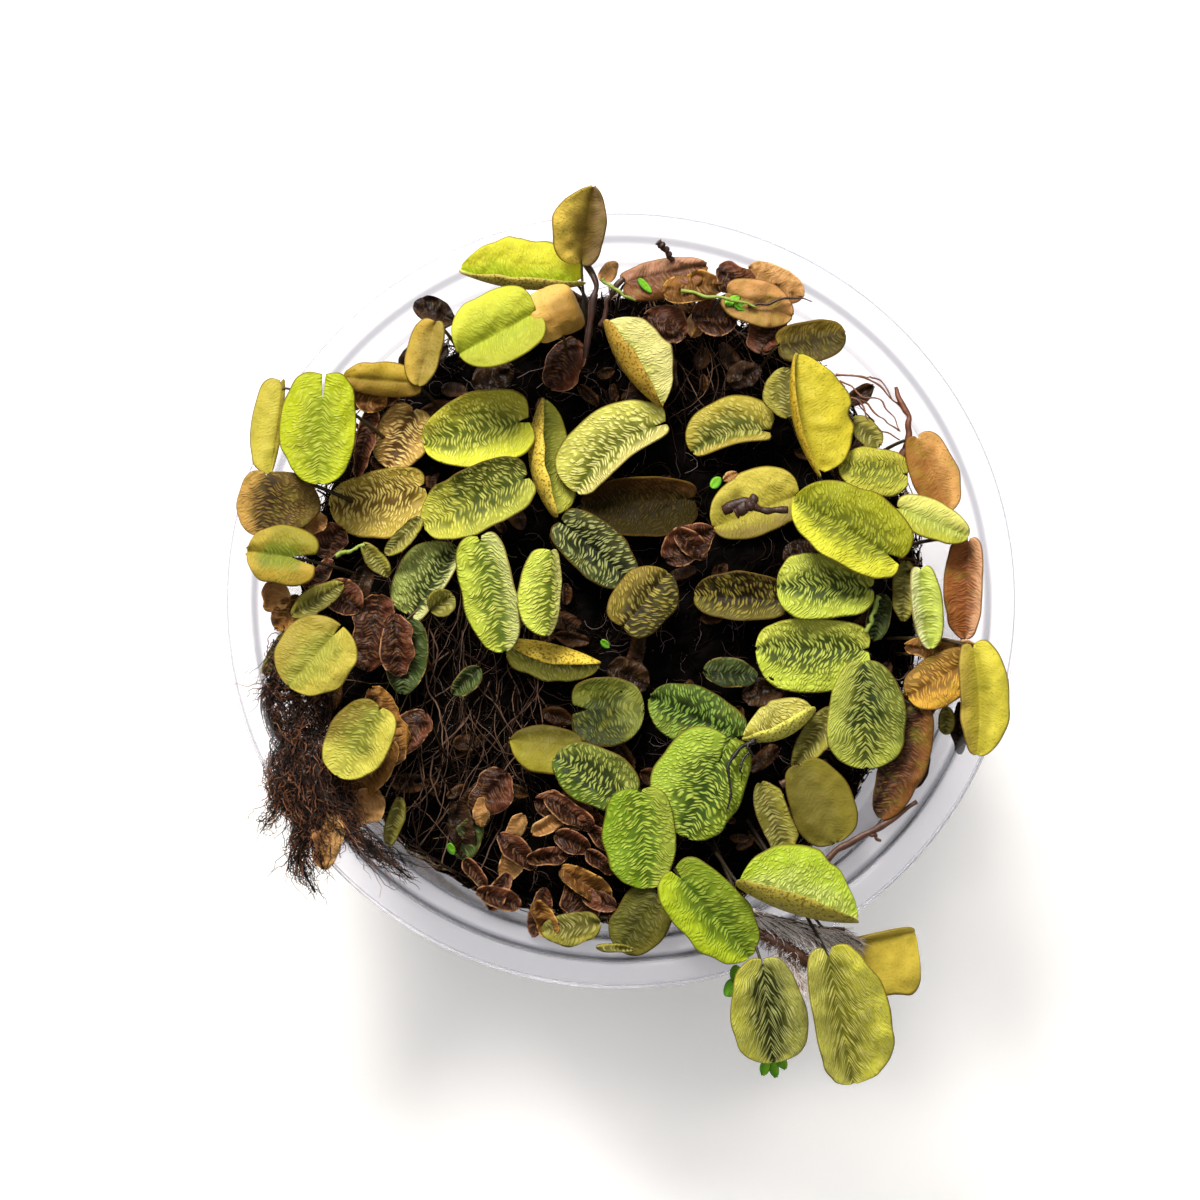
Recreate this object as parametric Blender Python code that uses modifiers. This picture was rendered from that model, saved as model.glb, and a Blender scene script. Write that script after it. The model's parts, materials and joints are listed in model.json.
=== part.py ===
# Water spangles: a tangled clump of floating fern leaves over its root mass, held by a clear plastic tub.
# Metres, +Z up. The origin is the middle of the tub's underside, and -Y is the side that faces the viewer.
import math

import bmesh
import bpy
import numpy as np

MM = 0.001

# Tub
TUB_HEIGHT = 0.045
RIM_RADIUS = 0.0585
RIM_INNER_RADIUS = 0.0544
SHOULDER_RADIUS = 0.0521
WALL_TOP_RADIUS = 0.0513
BASE_RADIUS = 0.0476
WALL = 0.0007
TUB_STEPS = 56

# Root mass in the tub: a low bumpy cake that nearly fills it
MASS_TOP = 0.0385
MASS_BUMP = 0.0011
MASS_RADIUS = 0.0472
MASS_SIDE_PULL = 0.0004
MASS_BOTTOM = 0.0012
MASS_FOOT_RADIUS = 0.0440
MASS_ROUNDING = 0.0016
MASS_RINGS = 14
MASS_TOP_RINGS = 9
MASS_SEGMENTS = 36

# Root tuft that hangs over the rim on the left, in millimetres on the rim plane
TUFT_CENTRE = (-46.8, -23.5)
TUFT_HALF = (4.2, 9.5, 2.4)
TUFT_TURN = math.radians(8)

# Leaves, in millimetres
LEAF_THICKNESS = 0.5
LEAF_CELLS_LONG = 5
LEAF_CELLS_WIDE = 4
TIP_REST = 0.12

# Height map that stacks the pieces, in millimetres
GAP = 0.4
CELL = 0.8
MAP_HALF = 90
SUBSTEPS = 8

# Places in the tables are read on the rim plane along lines from this viewing point, in millimetres
VIEW_DISTANCE = 400.0
VIEW_ELEVATION = math.radians(78.5)
RIM_LEVEL = TUB_HEIGHT / MM
EYE_BACK = VIEW_DISTANCE * math.cos(VIEW_ELEVATION)
EYE_UP = RIM_LEVEL + VIEW_DISTANCE * math.sin(VIEW_ELEVATION)

# Colour (linear) and roughness of each finish
TONES = {
    "clear": ((0.93, 0.93, 0.95), 0.08),
    "root": ((0.020, 0.013, 0.010), 0.60),
    "stem": ((0.300, 0.180, 0.120), 0.60),
    "lime": ((0.470, 0.620, 0.020), 0.45),
    "green": ((0.200, 0.400, 0.030), 0.50),
    "deep": ((0.060, 0.150, 0.030), 0.50),
    "yellow": ((0.620, 0.580, 0.100), 0.50),
    "olive": ((0.280, 0.240, 0.040), 0.55),
    "tan": ((0.520, 0.270, 0.080), 0.60),
    "brown": ((0.160, 0.070, 0.030), 0.60),
}

# Stems, in millimetres on the rim plane. Each lies on what is under it, and sags by STEM_SAG at the most
STEM_POINTS = 9
STEM_SAG = 1.2
STEMS = {
    "rhizome_front": dict(
        tone="stem",
        radius=1.1,
        points=((15.5, -46.5), (19.5, -48.6), (23.5, -50.6), (27.5, -51.6), (31.5, -51.2)),
    ),
    "twig_front": dict(
        tone="brown",
        radius=0.55,
        points=((28.5, -41.5), (32.0, -38.0), (36.0, -36.2), (39.5, -34.4), (43.0, -31.6)),
    ),
    "strand_back": dict(
        tone="brown",
        radius=0.7,
        points=((33.0, 32.5), (36.5, 31.0), (40.0, 28.6), (42.2, 25.0), (42.0, 20.5)),
    ),
}

# Leaves from the lowest to the highest, in millimetres on the rim plane. base and tip are the ends of the
# midrib. left and right, looking from base to tip, say how far the margin goes out, how far it rises and how
# much it bellies between. z is the height of base and tip over the leaf's own level, bow a sideways bend of
# the midrib, arch an upward one, notch and slit the cut at the base, and skew moves the widest place to the tip.
LEAVES = {
    "70": dict(
        tone="brown",
        base=(0.3, 46.8), tip=(13.0, 49.5),
        left=(1.7, 0.5, -0.3), right=(3.0, 0, -0.6),
        z=(1, 1), notch=0.02,
    ),
    "08": dict(
        tone="yellow",
        base=(-50.6, 31.4), tip=(-52.0, 17.0),
        left=(0.9, -1.0, 0), right=(4.0, -1.2, -0.8),
        z=(1, 0.5),
    ),
    "13": dict(
        tone="tan",
        base=(-44.5, 13.2), tip=(-56.8, 12.0),
        left=(4.2, -0.5, -0.4), right=(4.2, -0.3, -0.5),
        z=(1, -0.5), notch=0.05, point=0.8,
    ),
    "09": dict(
        tone="tan",
        base=(-30.8, 27.2), tip=(-34.6, 18.0),
        left=(4.1, 0.8, 0.2), right=(4.2, 0.6, 0),
        z=(0, -1),
    ),
    "31": dict(
        tone="olive",
        base=(10.9, 13.3), tip=(-6.0, 12.5),
        left=(5.2, 2.0, 0.3), right=(3.6, 2.0, 0.3),
        z=(-1, -2),
    ),
    "34": dict(
        tone="olive",
        base=(24.0, -2.0), tip=(10.7, -1.3),
        left=(3.2, 2.0, 0.3), right=(3.9, 2.0, 0.2),
        z=(0, -1),
    ),
    "41": dict(
        tone="green",
        base=(42.5, 17.0), tip=(32.3, 18.6),
        left=(4.0, 0, 0), right=(3.5, 0, -0.3),
        z=(2, 2),
    ),
    "43": dict(
        tone="brown",
        base=(44.0, 22.9), tip=(48.4, 11.2),
        left=(3.3, -0.5, -0.6), right=(2.6, 0, -0.3),
        z=(1, 0), notch=0.04,
    ),
    "61": dict(
        tone="olive",
        base=(26.0, -26.3), tip=(31.0, -37.8),
        left=(5.4, -0.3, -0.3), right=(4.2, -0.3, -0.3),
        z=(1, -1), notch=0.03,
    ),
    "64": dict(
        tone="brown",
        base=(43.8, -18.3), tip=(37.4, -34.2),
        left=(2.9, 0, -0.3), right=(3.6, 0.3, 0.3),
        z=(1, -0.5), bow=0.8, notch=0.03,
    ),
    "29": dict(
        tone="green",
        base=(-9.8, 10.8), tip=(-11.4, 28.7),
        left=(-2.2, 4.2, 0.5), right=(6.2, 0, 0),
        z=(0, 0), bow=2.8, notch=0.05,
    ),
    "12": dict(
        tone="olive",
        base=(-29.2, 15.3), tip=(-43.2, 12.2),
        left=(6.3, 1.5, 0.8), right=(3.7, 1.6, 0.3),
        z=(1, 0), notch=0.05,
    ),
    "17": dict(
        tone="yellow",
        base=(-39.9, -5.4), tip=(-48.6, -14.8),
        left=(5.3, -0.3, -0.5), right=(5.6, -0.3, -0.5),
        z=(3, 2), notch=0.24, slit=0.14,
    ),
    "44": dict(
        tone="brown",
        base=(51.3, 7.3), tip=(50.4, -7.8),
        left=(1.6, 1.5, 0.2), right=(2.8, 0, 0.4),
        z=(1, 0), notch=0.03,
    ),
    "49": dict(
        tone="tan",
        base=(51.0, -11.0), tip=(41.8, -16.4),
        left=(4.1, 0, -0.3), right=(3.7, -0.4, -0.3),
        z=(3, 2), notch=0.04, point=0.8,
    ),
    "25": dict(
        tone="deep",
        base=(-30.7, -4.4), tip=(-24.2, 6.2),
        left=(5.8, 1.0, -0.5), right=(1.6, 2.5, 0.3),
        z=(0, 1), notch=0.08,
    ),
    "28": dict(
        tone="deep",
        base=(-16.5, -8.1), tip=(-3.0, -11.6),
        left=(-2.4, 3.6, 0.8), right=(5.2, 0.5, -0.4),
        z=(1, 1), bow=0.9,
    ),
    "32": dict(
        tone="deep",
        base=(-9.0, 10.0), tip=(1.8, 0.6),
        left=(4.3, 0.5, -0.5), right=(3.9, 1.0, 0),
        z=(0, 0), notch=0.1,
    ),
    "56": dict(
        tone="deep",
        base=(-7.0, -18.2), tip=(3.4, -18.2),
        left=(4.8, 1.5, 0.6), right=(5.5, 1.5, 0.6),
        z=(0, 1), notch=0.2, slit=0.35,
    ),
    "57": dict(
        tone="yellow",
        base=(-6.0, -23.8), tip=(-16.2, -22.7),
        left=(4.6, 1.0, -0.3), right=(2.8, 0, 0),
        z=(1, 1), point=1.3,
    ),
    "53": dict(
        tone="green",
        base=(17.3, -22.5), tip=(4.2, -16.4),
        left=(4.6, 0, -0.4), right=(4.6, 0.3, -0.5),
        z=(1, 1), notch=0.05,
    ),
    "55": dict(
        tone="deep",
        base=(1.3, -31.6), tip=(-9.6, -25.0),
        left=(3.9, 0.5, -0.5), right=(4.7, 1.5, 0.2),
        z=(2, 1), notch=0.04,
    ),
    "33": dict(
        tone="olive",
        base=(0.2, -6.0), tip=(7.0, 2.2),
        left=(4.9, 0.5, -0.6), right=(4.5, 0, -0.5),
        z=(1, 1), notch=0.05,
    ),
    "10": dict(
        tone="lime",
        base=(-13.8, 25.4), tip=(-29.5, 21.8),
        left=(5.4, 1.8, 0.5), right=(5.8, 2.6, 0.6),
        z=(2, 1), notch=0.11, slit=0.12, skew=-0.25,
    ),
    "14": dict(
        tone="yellow",
        base=(-45.2, 3.4), tip=(-55.4, 5.0),
        left=(4.0, 0.4, -0.4), right=(4.9, 1.0, -0.8),
        z=(1.5, 0.5), notch=0.15, slit=0.16,
    ),
    "07": dict(
        tone="lime",
        base=(-44.4, 32.4), tip=(-44.8, 15.5),
        left=(5.4, -0.6, -0.6), right=(6.1, -0.3, -0.6),
        z=(3, 2), notch=0.22, slit=0.1,
    ),
    "11": dict(
        tone="green",
        base=(-13.8, 16.7), tip=(-29.2, 9.0),
        left=(4.4, 1.8, 0.4), right=(5.2, 2.0, 0.5),
        z=(1, 0), notch=0.05,
    ),
    "02": dict(
        tone="lime",
        base=(-5.8, 47.0), tip=(-24.3, 49.0),
        left=(-1.3, 4.5, 0.8), right=(7.6, 1.0, -1.2),
        z=(2, 3), bow=1.6,
    ),
    "04": dict(
        tone="tan",
        base=(-8.0, 39.0), tip=(-12.0, 47.6),
        left=(4.2, -4.0, -1.2), right=(4.2, -4.0, -1.2),
        z=(5, 5), notch=0.05, arch=1.5,
    ),
    "03": dict(
        tone="lime",
        base=(-12.6, 42.2), tip=(-24.3, 35.6),
        left=(4.9, 1.2, 0), right=(6.8, -1.5, -2.0),
        z=(3, 3),
    ),
    "01": dict(
        tone="olive",
        base=(-6.0, 49.7), tip=(-4.2, 62.0),
        left=(5.3, 1.5, -0.8), right=(2.8, 1.5, 0),
        z=(0, 7), point=1.3, notch=0.04,
    ),
    "26": dict(
        tone="lime",
        base=(-20.9, 7.6), tip=(-17.0, -9.7),
        left=(3.4, 2.5, 0.5), right=(4.7, -0.5, -0.5),
        z=(3, 2), notch=0.04,
    ),
    "27": dict(
        tone="lime",
        base=(-10.2, 5.5), tip=(-10.8, -7.3),
        left=(1.8, -1.5, 0), right=(4.8, 0.5, -0.4),
        z=(3, 2), notch=0.02, skew=0.2,
    ),
    "35": dict(
        tone="olive",
        base=(22.2, 23.6), tip=(10.6, 20.3),
        left=(1.6, 2.2, 0.3), right=(5.6, 0.3, -0.6),
        z=(2, 1), bow=-1.4, notch=0.1,
    ),
    "37": dict(
        tone="yellow",
        base=(29.7, 17.2), tip=(26.6, 35.7),
        left=(-0.8, 3.2, 0.6), right=(8.4, -0.5, -1.2),
        z=(3, 4), bow=2.1, notch=0.03,
    ),
    "38": dict(
        tone="yellow",
        base=(26.5, 14.0), tip=(13.6, 8.9),
        left=(3.8, 1.0, 0), right=(6.4, 0.5, -0.6),
        z=(1, 1), notch=0.05,
    ),
    "30": dict(
        tone="lime",
        base=(6.7, 24.9), tip=(-6.6, 14.2),
        left=(3.0, 2.5, 0.3), right=(4.7, 0.5, -0.5),
        z=(3, 2), bow=-3.4, notch=0.1, slit=0.12,
    ),
    "39": dict(
        tone="lime",
        base=(-2.3, 40.6), tip=(6.2, 27.6),
        left=(7.8, 1.0, -0.8), right=(-2.6, 4.2, 0.8),
        z=(2, 1), bow=-1.6, notch=0.03,
    ),
    "42": dict(
        tone="green",
        base=(40.8, 12.0), tip=(51.3, 7.5),
        left=(3.4, 0.5, -0.3), right=(2.4, 1.0, 0),
        z=(2, 3), notch=0.04,
    ),
    "48": dict(
        tone="lime",
        base=(44.1, 2.9), tip=(45.3, -9.3),
        left=(2.8, 0, -0.4), right=(1.8, 1.4, 0.2),
        z=(3, 2), notch=0.03,
    ),
    "46": dict(
        tone="green",
        base=(36.2, -9.4), tip=(19.7, -9.2),
        left=(6.6, 0, -0.5), right=(4.7, 2.0, 0.3),
        z=(2, 1), notch=0.05, skew=0.2,
    ),
    "45": dict(
        tone="green",
        base=(37.0, -0.2), tip=(22.9, 0.1),
        left=(4.8, 1.2, 0), right=(5.3, 1.0, -0.3),
        z=(2, 1), notch=0.05, skew=0.45, slit=0.2,
    ),
    "47": dict(
        tone="green",
        base=(35.4, -11.2), tip=(35.6, -26.9),
        left=(6.2, 0.8, -0.3), right=(5.6, 0.8, -0.3),
        z=(3, 1), notch=0.03, skew=0.4, root=1.2,
    ),
    "40": dict(
        tone="lime",
        base=(41.1, 3.8), tip=(25.6, 13.4),
        left=(4.9, 0.8, 0.1), right=(7.0, 0.8, -0.6),
        z=(4, 4), notch=0.12, slit=0.16,
    ),
    "50": dict(
        tone="yellow",
        base=(51.4, -8.6), tip=(51.6, -25.0),
        left=(4.4, 0.3, -0.8), right=(2.8, 1.6, 0),
        z=(2, 1), bow=0.8, notch=0.04,
    ),
    "51": dict(
        tone="yellow",
        base=(28.1, -18.1), tip=(17.6, -22.3),
        left=(-1.9, 3.2, 0.6), right=(5.6, 1.2, -0.3),
        z=(1, 0), bow=2.0,
    ),
    "54": dict(
        tone="green",
        base=(15.8, -22.4), tip=(9.4, -37.0),
        left=(5.3, -0.5, -0.5), right=(8.2, -0.2, -0.8),
        z=(4, 3), notch=0.42, slit=0.07,
    ),
    "58": dict(
        tone="green",
        base=(2.8, -30.0), tip=(4.0, -44.3),
        left=(4.7, 0, -0.6), right=(6.0, 0.3, -0.6),
        z=(3, 2), notch=0.03,
    ),
    "59": dict(
        tone="green",
        base=(7.6, -41.6), tip=(18.5, -54.1),
        left=(5.2, 0.6, -0.4), right=(5.2, 0.2, -0.3),
        z=(3, 0), notch=0.15, slit=0.3,
    ),
    "60": dict(
        tone="lime",
        base=(16.8, -43.6), tip=(34.1, -48.8),
        left=(9.2, 1.0, -0.8), right=(-2.5, 3.6, 0.6),
        z=(3, 2), bow=-1.5, notch=0.03,
    ),
    "65": dict(
        tone="green",
        base=(19.9, -53.9), tip=(20.7, -67.7),
        left=(5.8, -0.3, -0.4), right=(5.1, 0, -0.3),
        z=(1, -6), notch=0.18, slit=0.06, skew=0.2,
    ),
    "66": dict(
        tone="yellow",
        base=(29.5, -52.9), tip=(33.0, -72.0),
        left=(6.3, -0.3, -0.4), right=(4.8, 0.6, 0.2),
        z=(1, -8), notch=0.06, slit=0.06, skew=0.3,
    ),
    "19": dict(
        tone="yellow",
        base=(-35.0, -17.9), tip=(-41.2, -28.0),
        left=(4.4, 0.3, 0.2), right=(5.0, 0.3, 0.2),
        z=(3, 2), notch=0.05, skew=0.15,
    ),
}


def under(x, y, z):
    """The point at height z that is seen at (x, y) on the rim plane, in millimetres."""
    share = (EYE_UP - z) / (EYE_UP - RIM_LEVEL)
    return x * share, (y + EYE_BACK) * share - EYE_BACK


def mass_edge(angle):
    """Radius of the root mass at an angle: smaller on the right side."""
    right = max(0.0, math.cos(angle + 0.2)) ** 2
    return MASS_RADIUS - MASS_SIDE_PULL * right + 0.0005 * math.sin(5 * angle + 1)


def mass_height(x, y):
    """Top of the root mass, in metres: a low dome with a few slow bumps."""
    wave = np.sin(x * 310 + 1.3) * np.sin(y * 270 - 0.4) + 0.6 * np.sin(x * 170 - y * 240)
    return MASS_TOP + MASS_BUMP * wave - 0.6 * (x * x + y * y)


class HeightMap:
    """What is already laid: the highest point in each cell, in millimetres."""

    def __init__(self):
        self.count = int(2 * MAP_HALF / CELL)
        middle = (np.arange(self.count) + 0.5) * CELL - MAP_HALF
        x, y = np.meshgrid(middle, middle, indexing="ij")
        radius = np.hypot(x, y)
        mass = mass_height(x * MM, y * MM) / MM
        rim_inside = WALL_TOP_RADIUS / MM - 2.5
        rim_outside = RIM_RADIUS / MM + 1.0
        on_rim = (radius > rim_inside) & (radius < rim_outside)
        self.top = np.where(radius < rim_inside, mass, np.where(on_rim, RIM_LEVEL, 0.0))

    def cells(self, x, y):
        return (
            np.clip(((x + MAP_HALF) / CELL).astype(int), 1, self.count - 2),
            np.clip(((y + MAP_HALF) / CELL).astype(int), 1, self.count - 2),
        )

    def rise_needed(self, points):
        """How far these points have to rise to clear all that is laid."""
        i, j = self.cells(points[:, 0], points[:, 1])
        return float(np.max(self.top[i, j] + GAP - points[:, 2]))

    def lay(self, points):
        """Adds these points, each over its own cell and the cells around it."""
        i, j = self.cells(points[:, 0], points[:, 1])
        for di in (-1, 0, 1):
            for dj in (-1, 0, 1):
                np.maximum.at(self.top, (i + di, j + dj), points[:, 2])


def leaf_point(leaf, along, across):
    """A point of the leaf's top face: along 0 to 1 from base to tip, across -1 to 1 from right to left margin.
    Rows of equal along run from the midrib out to an oval margin, so the notch at the base is part of the grid."""
    base = np.array(leaf["base"], float)
    chord = np.array(leaf["tip"], float) - base
    length = float(np.hypot(*chord))
    ahead = chord / length
    aside = np.array((-ahead[1], ahead[0]))
    slit = leaf.get("slit", 0.22)
    notch = leaf.get("notch", 0.06)
    turn = slit + along * (math.pi - slit - TIP_REST)
    power = leaf.get("root", 0.8) if turn < math.pi / 2 else leaf.get("point", 0.95)
    reach = math.sin(turn) ** power
    margin = (1 - math.cos(turn)) / 2
    margin += leaf.get("skew", 0) * margin * (1 - margin)
    share = abs(across)
    u = notch + (0.99 - notch) * along
    u += (margin - u) * share**1.25
    w = reach * share
    out, up, belly = leaf["left"] if across > 0 else leaf["right"]
    slope = math.hypot(out, up)
    hump = belly * 4 * w * (1 - w)
    sideways = (out * w + hump * up / slope) * (1 if across > 0 else -1)
    rise = up * w - hump * out / slope
    bow = leaf.get("bow", 0)
    middle = base + ahead * length * u + aside * bow * 4 * u * (1 - u)
    heading = ahead * length + aside * bow * 4 * (1 - 2 * u)
    heading /= np.hypot(*heading)
    spot = middle + np.array((-heading[1], heading[0])) * sideways
    low, high = leaf["z"]
    return spot[0], spot[1], low + (high - low) * u + leaf.get("arch", 0) * 4 * u * (1 - u) + rise


def leaf_corners(leaf):
    """The corners of the leaf's grid, in rim-plane millimetres and height over the leaf's level."""
    rows = [i / LEAF_CELLS_LONG for i in range(LEAF_CELLS_LONG + 1)]
    columns = [2 * j / LEAF_CELLS_WIDE - 1 for j in range(LEAF_CELLS_WIDE + 1)]
    return np.array([[leaf_point(leaf, along, across) for across in columns] for along in rows])


def placed(corners, level):
    """The corners at this level, each moved along its line of sight."""
    z = corners[..., 2] + level
    x, y = under(corners[..., 0], corners[..., 1], z)
    return np.stack((x, y, z), axis=-1)


def filled(grid):
    """Points spread over the facets between the grid's corners."""

    def weights(count):
        fine = np.linspace(0, count - 1, (count - 1) * SUBSTEPS + 1)
        return np.clip(1 - np.abs(fine[:, None] - np.arange(count)[None, :]), 0, 1)

    spread = np.einsum("ai,bj,ijk->abk", weights(grid.shape[0]), weights(grid.shape[1]), grid)
    return spread.reshape(-1, 3)


def stack_leaf(leaf, height_map):
    """Drops the leaf onto what is laid and returns its corners in metres."""
    corners = leaf_corners(leaf)
    level = 40.0
    for _ in range(4):
        points = filled(placed(corners, level))
        points[:, 2] -= LEAF_THICKNESS
        level += height_map.rise_needed(points)
    grid = placed(corners, level)
    height_map.lay(filled(grid))
    return grid * MM


def material(name, tone):
    colour, roughness = TONES[tone]
    made = bpy.data.materials.new(name)
    made.use_nodes = True
    shader = made.node_tree.nodes["Principled BSDF"]
    shader.inputs["Base Color"].default_value = (*colour, 1.0)
    shader.inputs["Roughness"].default_value = roughness
    shader.inputs["Metallic"].default_value = 0.0
    return made


def add_object(name, data, tone, collection):
    made = bpy.data.objects.new(name, data)
    data.materials.append(material(name, tone))
    collection.objects.link(made)
    return made


def make_tub(collection):
    """The tub: one closed profile, up the inside, over the rim and down the outside, turned about Z."""
    floor = WALL
    flange_under = TUB_HEIGHT - WALL
    inside = [
        (0.0, floor),
        (BASE_RADIUS - 0.0026, floor),
        (BASE_RADIUS - 0.0009, floor + 0.0017),
        (WALL_TOP_RADIUS - WALL, TUB_HEIGHT - 0.0044),
        (SHOULDER_RADIUS - WALL * 0.5, TUB_HEIGHT - 0.0031),
        (RIM_INNER_RADIUS - 0.0009, TUB_HEIGHT - 0.0022),
        (RIM_INNER_RADIUS, TUB_HEIGHT),
    ]
    lip = [
        (RIM_RADIUS - 0.0004, TUB_HEIGHT),
        (RIM_RADIUS, TUB_HEIGHT - 0.0004),
        (RIM_RADIUS, TUB_HEIGHT - 0.0020),
        (RIM_RADIUS - WALL, TUB_HEIGHT - 0.0020),
        (RIM_RADIUS - WALL, flange_under),
    ]
    outside = [
        (RIM_INNER_RADIUS + 0.0005, flange_under),
        (RIM_INNER_RADIUS - 0.0001, TUB_HEIGHT - 0.0029),
        (SHOULDER_RADIUS + 0.0003, TUB_HEIGHT - 0.0037),
        (WALL_TOP_RADIUS, TUB_HEIGHT - 0.0048),
        (BASE_RADIUS, 0.0020),
        (BASE_RADIUS - 0.0020, 0.0),
        (0.0, 0.0),
    ]
    profile = inside + lip + outside
    mesh = bpy.data.meshes.new("tub")
    edges = [(i, i + 1) for i in range(len(profile) - 1)]
    mesh.from_pydata([(r, 0, z) for r, z in profile], edges, [])
    tub = add_object("tub", mesh, "clear", collection)
    screw = tub.modifiers.new("turn", "SCREW")
    screw.axis = "Z"
    screw.steps = TUB_STEPS
    screw.render_steps = TUB_STEPS
    screw.use_merge_vertices = True
    screw.merge_threshold = 0.0001
    screw.use_smooth_shade = True
    return tub


def make_root_mass(collection):
    """The root mass: a sphere drawn out to a cake with a domed, bumpy top, steep sides and a flat foot."""
    top_share = MASS_TOP_RINGS / MASS_RINGS
    foot_share = 1 - (MASS_TOP_RINGS + 1) / MASS_RINGS
    bm = bmesh.new()
    bmesh.ops.create_uvsphere(bm, u_segments=MASS_SEGMENTS, v_segments=MASS_RINGS, radius=1.0)
    for vert in bm.verts:
        angle = math.atan2(vert.co.y, vert.co.x)
        down = math.acos(max(-1.0, min(1.0, vert.co.z))) / math.pi
        edge = mass_edge(angle)
        outwards = min(1.0, down / top_share)
        inwards = min(1.0, (1 - down) / foot_share)
        on_top = down < top_share + 0.01
        radius = edge * outwards if on_top else MASS_FOOT_RADIUS * inwards
        x, y = radius * math.cos(angle), radius * math.sin(angle)
        rounding = MASS_ROUNDING * outwards**8
        vert.co = (x, y, float(mass_height(x, y)) - rounding if on_top else MASS_BOTTOM)
    mesh = bpy.data.meshes.new("root_mass")
    bm.to_mesh(mesh)
    bm.free()
    return add_object("root_mass", mesh, "root", collection)


def make_root_tuft(collection, height_map):
    """The tuft over the rim: a sphere drawn out to a long flat lump that rests on the rim."""
    half_x, half_y, half_z = TUFT_HALF
    bm = bmesh.new()
    bmesh.ops.create_uvsphere(bm, u_segments=16, v_segments=10, radius=1.0)
    turned = []
    for vert in bm.verts:
        x, y, z = vert.co.x * half_x, vert.co.y * half_y, vert.co.z * half_z
        x *= 1 + 0.18 * math.sin(3 * vert.co.y + 0.7)
        turned.append(
            (
                TUFT_CENTRE[0] + x * math.cos(TUFT_TURN) - y * math.sin(TUFT_TURN),
                TUFT_CENTRE[1] + x * math.sin(TUFT_TURN) + y * math.cos(TUFT_TURN),
                z,
            )
        )
    points = np.array(turned)
    points[:, 2] += 40.0
    points[:, 2] += height_map.rise_needed(points)
    height_map.lay(points)
    for vert, point in zip(bm.verts, points):
        vert.co = point * MM
    mesh = bpy.data.meshes.new("root_tuft")
    bm.to_mesh(mesh)
    bm.free()
    return add_object("root_tuft", mesh, "root", collection)


def make_stem(name, stem, collection, height_map):
    """A stem: a round wire through its points, each at the height where it clears what lies under it."""
    radius = stem["radius"]
    seen = np.array(stem["points"], float)
    fine = np.linspace(0, len(seen) - 1, STEM_POINTS)
    seen = np.stack([np.interp(fine, np.arange(len(seen)), seen[:, k]) for k in (0, 1)], axis=1)
    level = np.full(len(seen), 40.0)
    side = np.array([(dx, dy) for dx in (-1, 0, 1) for dy in (-1, 0, 1)]) * (radius + CELL)
    for _ in range(4):
        x, y = under(seen[:, 0], seen[:, 1], level)
        i, j = height_map.cells(x[:, None] + side[:, 0], y[:, None] + side[:, 1])
        level = height_map.top[i, j].max(axis=1) + GAP + radius
        level = np.maximum(level, level.max() - STEM_SAG)
    x, y = under(seen[:, 0], seen[:, 1], level)
    curve = bpy.data.curves.new(name, "CURVE")
    curve.dimensions = "3D"
    curve.bevel_depth = radius * MM
    curve.bevel_resolution = 1
    curve.use_fill_caps = True
    spline = curve.splines.new("POLY")
    spline.points.add(len(seen) - 1)
    for point, px, py, pz in zip(spline.points, x, y, level):
        point.co = (px * MM, py * MM, pz * MM, 1.0)
    for dx, dy in side:
        high = np.stack((x + dx, y + dy, level + radius), axis=1)
        height_map.lay(filled(np.repeat(high[:, None, :], 2, axis=1)))
    return add_object(name, curve, stem["tone"], collection)


def make_leaf(number, leaf, collection, height_map):
    """A leaf: a flat grid moved onto the leaf's surface, with its thickness below."""
    grid = stack_leaf(leaf, height_map)
    bm = bmesh.new()
    bmesh.ops.create_grid(
        bm, x_segments=LEAF_CELLS_LONG, y_segments=LEAF_CELLS_WIDE, size=1.0
    )
    for vert in bm.verts:
        row = round((vert.co.x + 1) / 2 * LEAF_CELLS_LONG)
        column = round((vert.co.y + 1) / 2 * LEAF_CELLS_WIDE)
        vert.co = grid[row, column]
    name = "leaf_" + number
    mesh = bpy.data.meshes.new(name)
    bm.to_mesh(mesh)
    bm.free()
    mesh.shade_smooth()
    made = add_object(name, mesh, leaf["tone"], collection)
    solid = made.modifiers.new("thickness", "SOLIDIFY")
    solid.thickness = LEAF_THICKNESS * MM
    solid.offset = -1.0
    return made


def main():
    for old in list(bpy.data.objects):
        bpy.data.objects.remove(old, do_unlink=True)
    collection = bpy.data.collections.new("water_spangles")
    bpy.context.scene.collection.children.link(collection)
    height_map = HeightMap()
    make_tub(collection)
    make_root_mass(collection)
    make_root_tuft(collection, height_map)
    for name, stem in STEMS.items():
        make_stem(name, stem, collection, height_map)
    for number, leaf in LEAVES.items():
        make_leaf(number, leaf, collection, height_map)


main()
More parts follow.
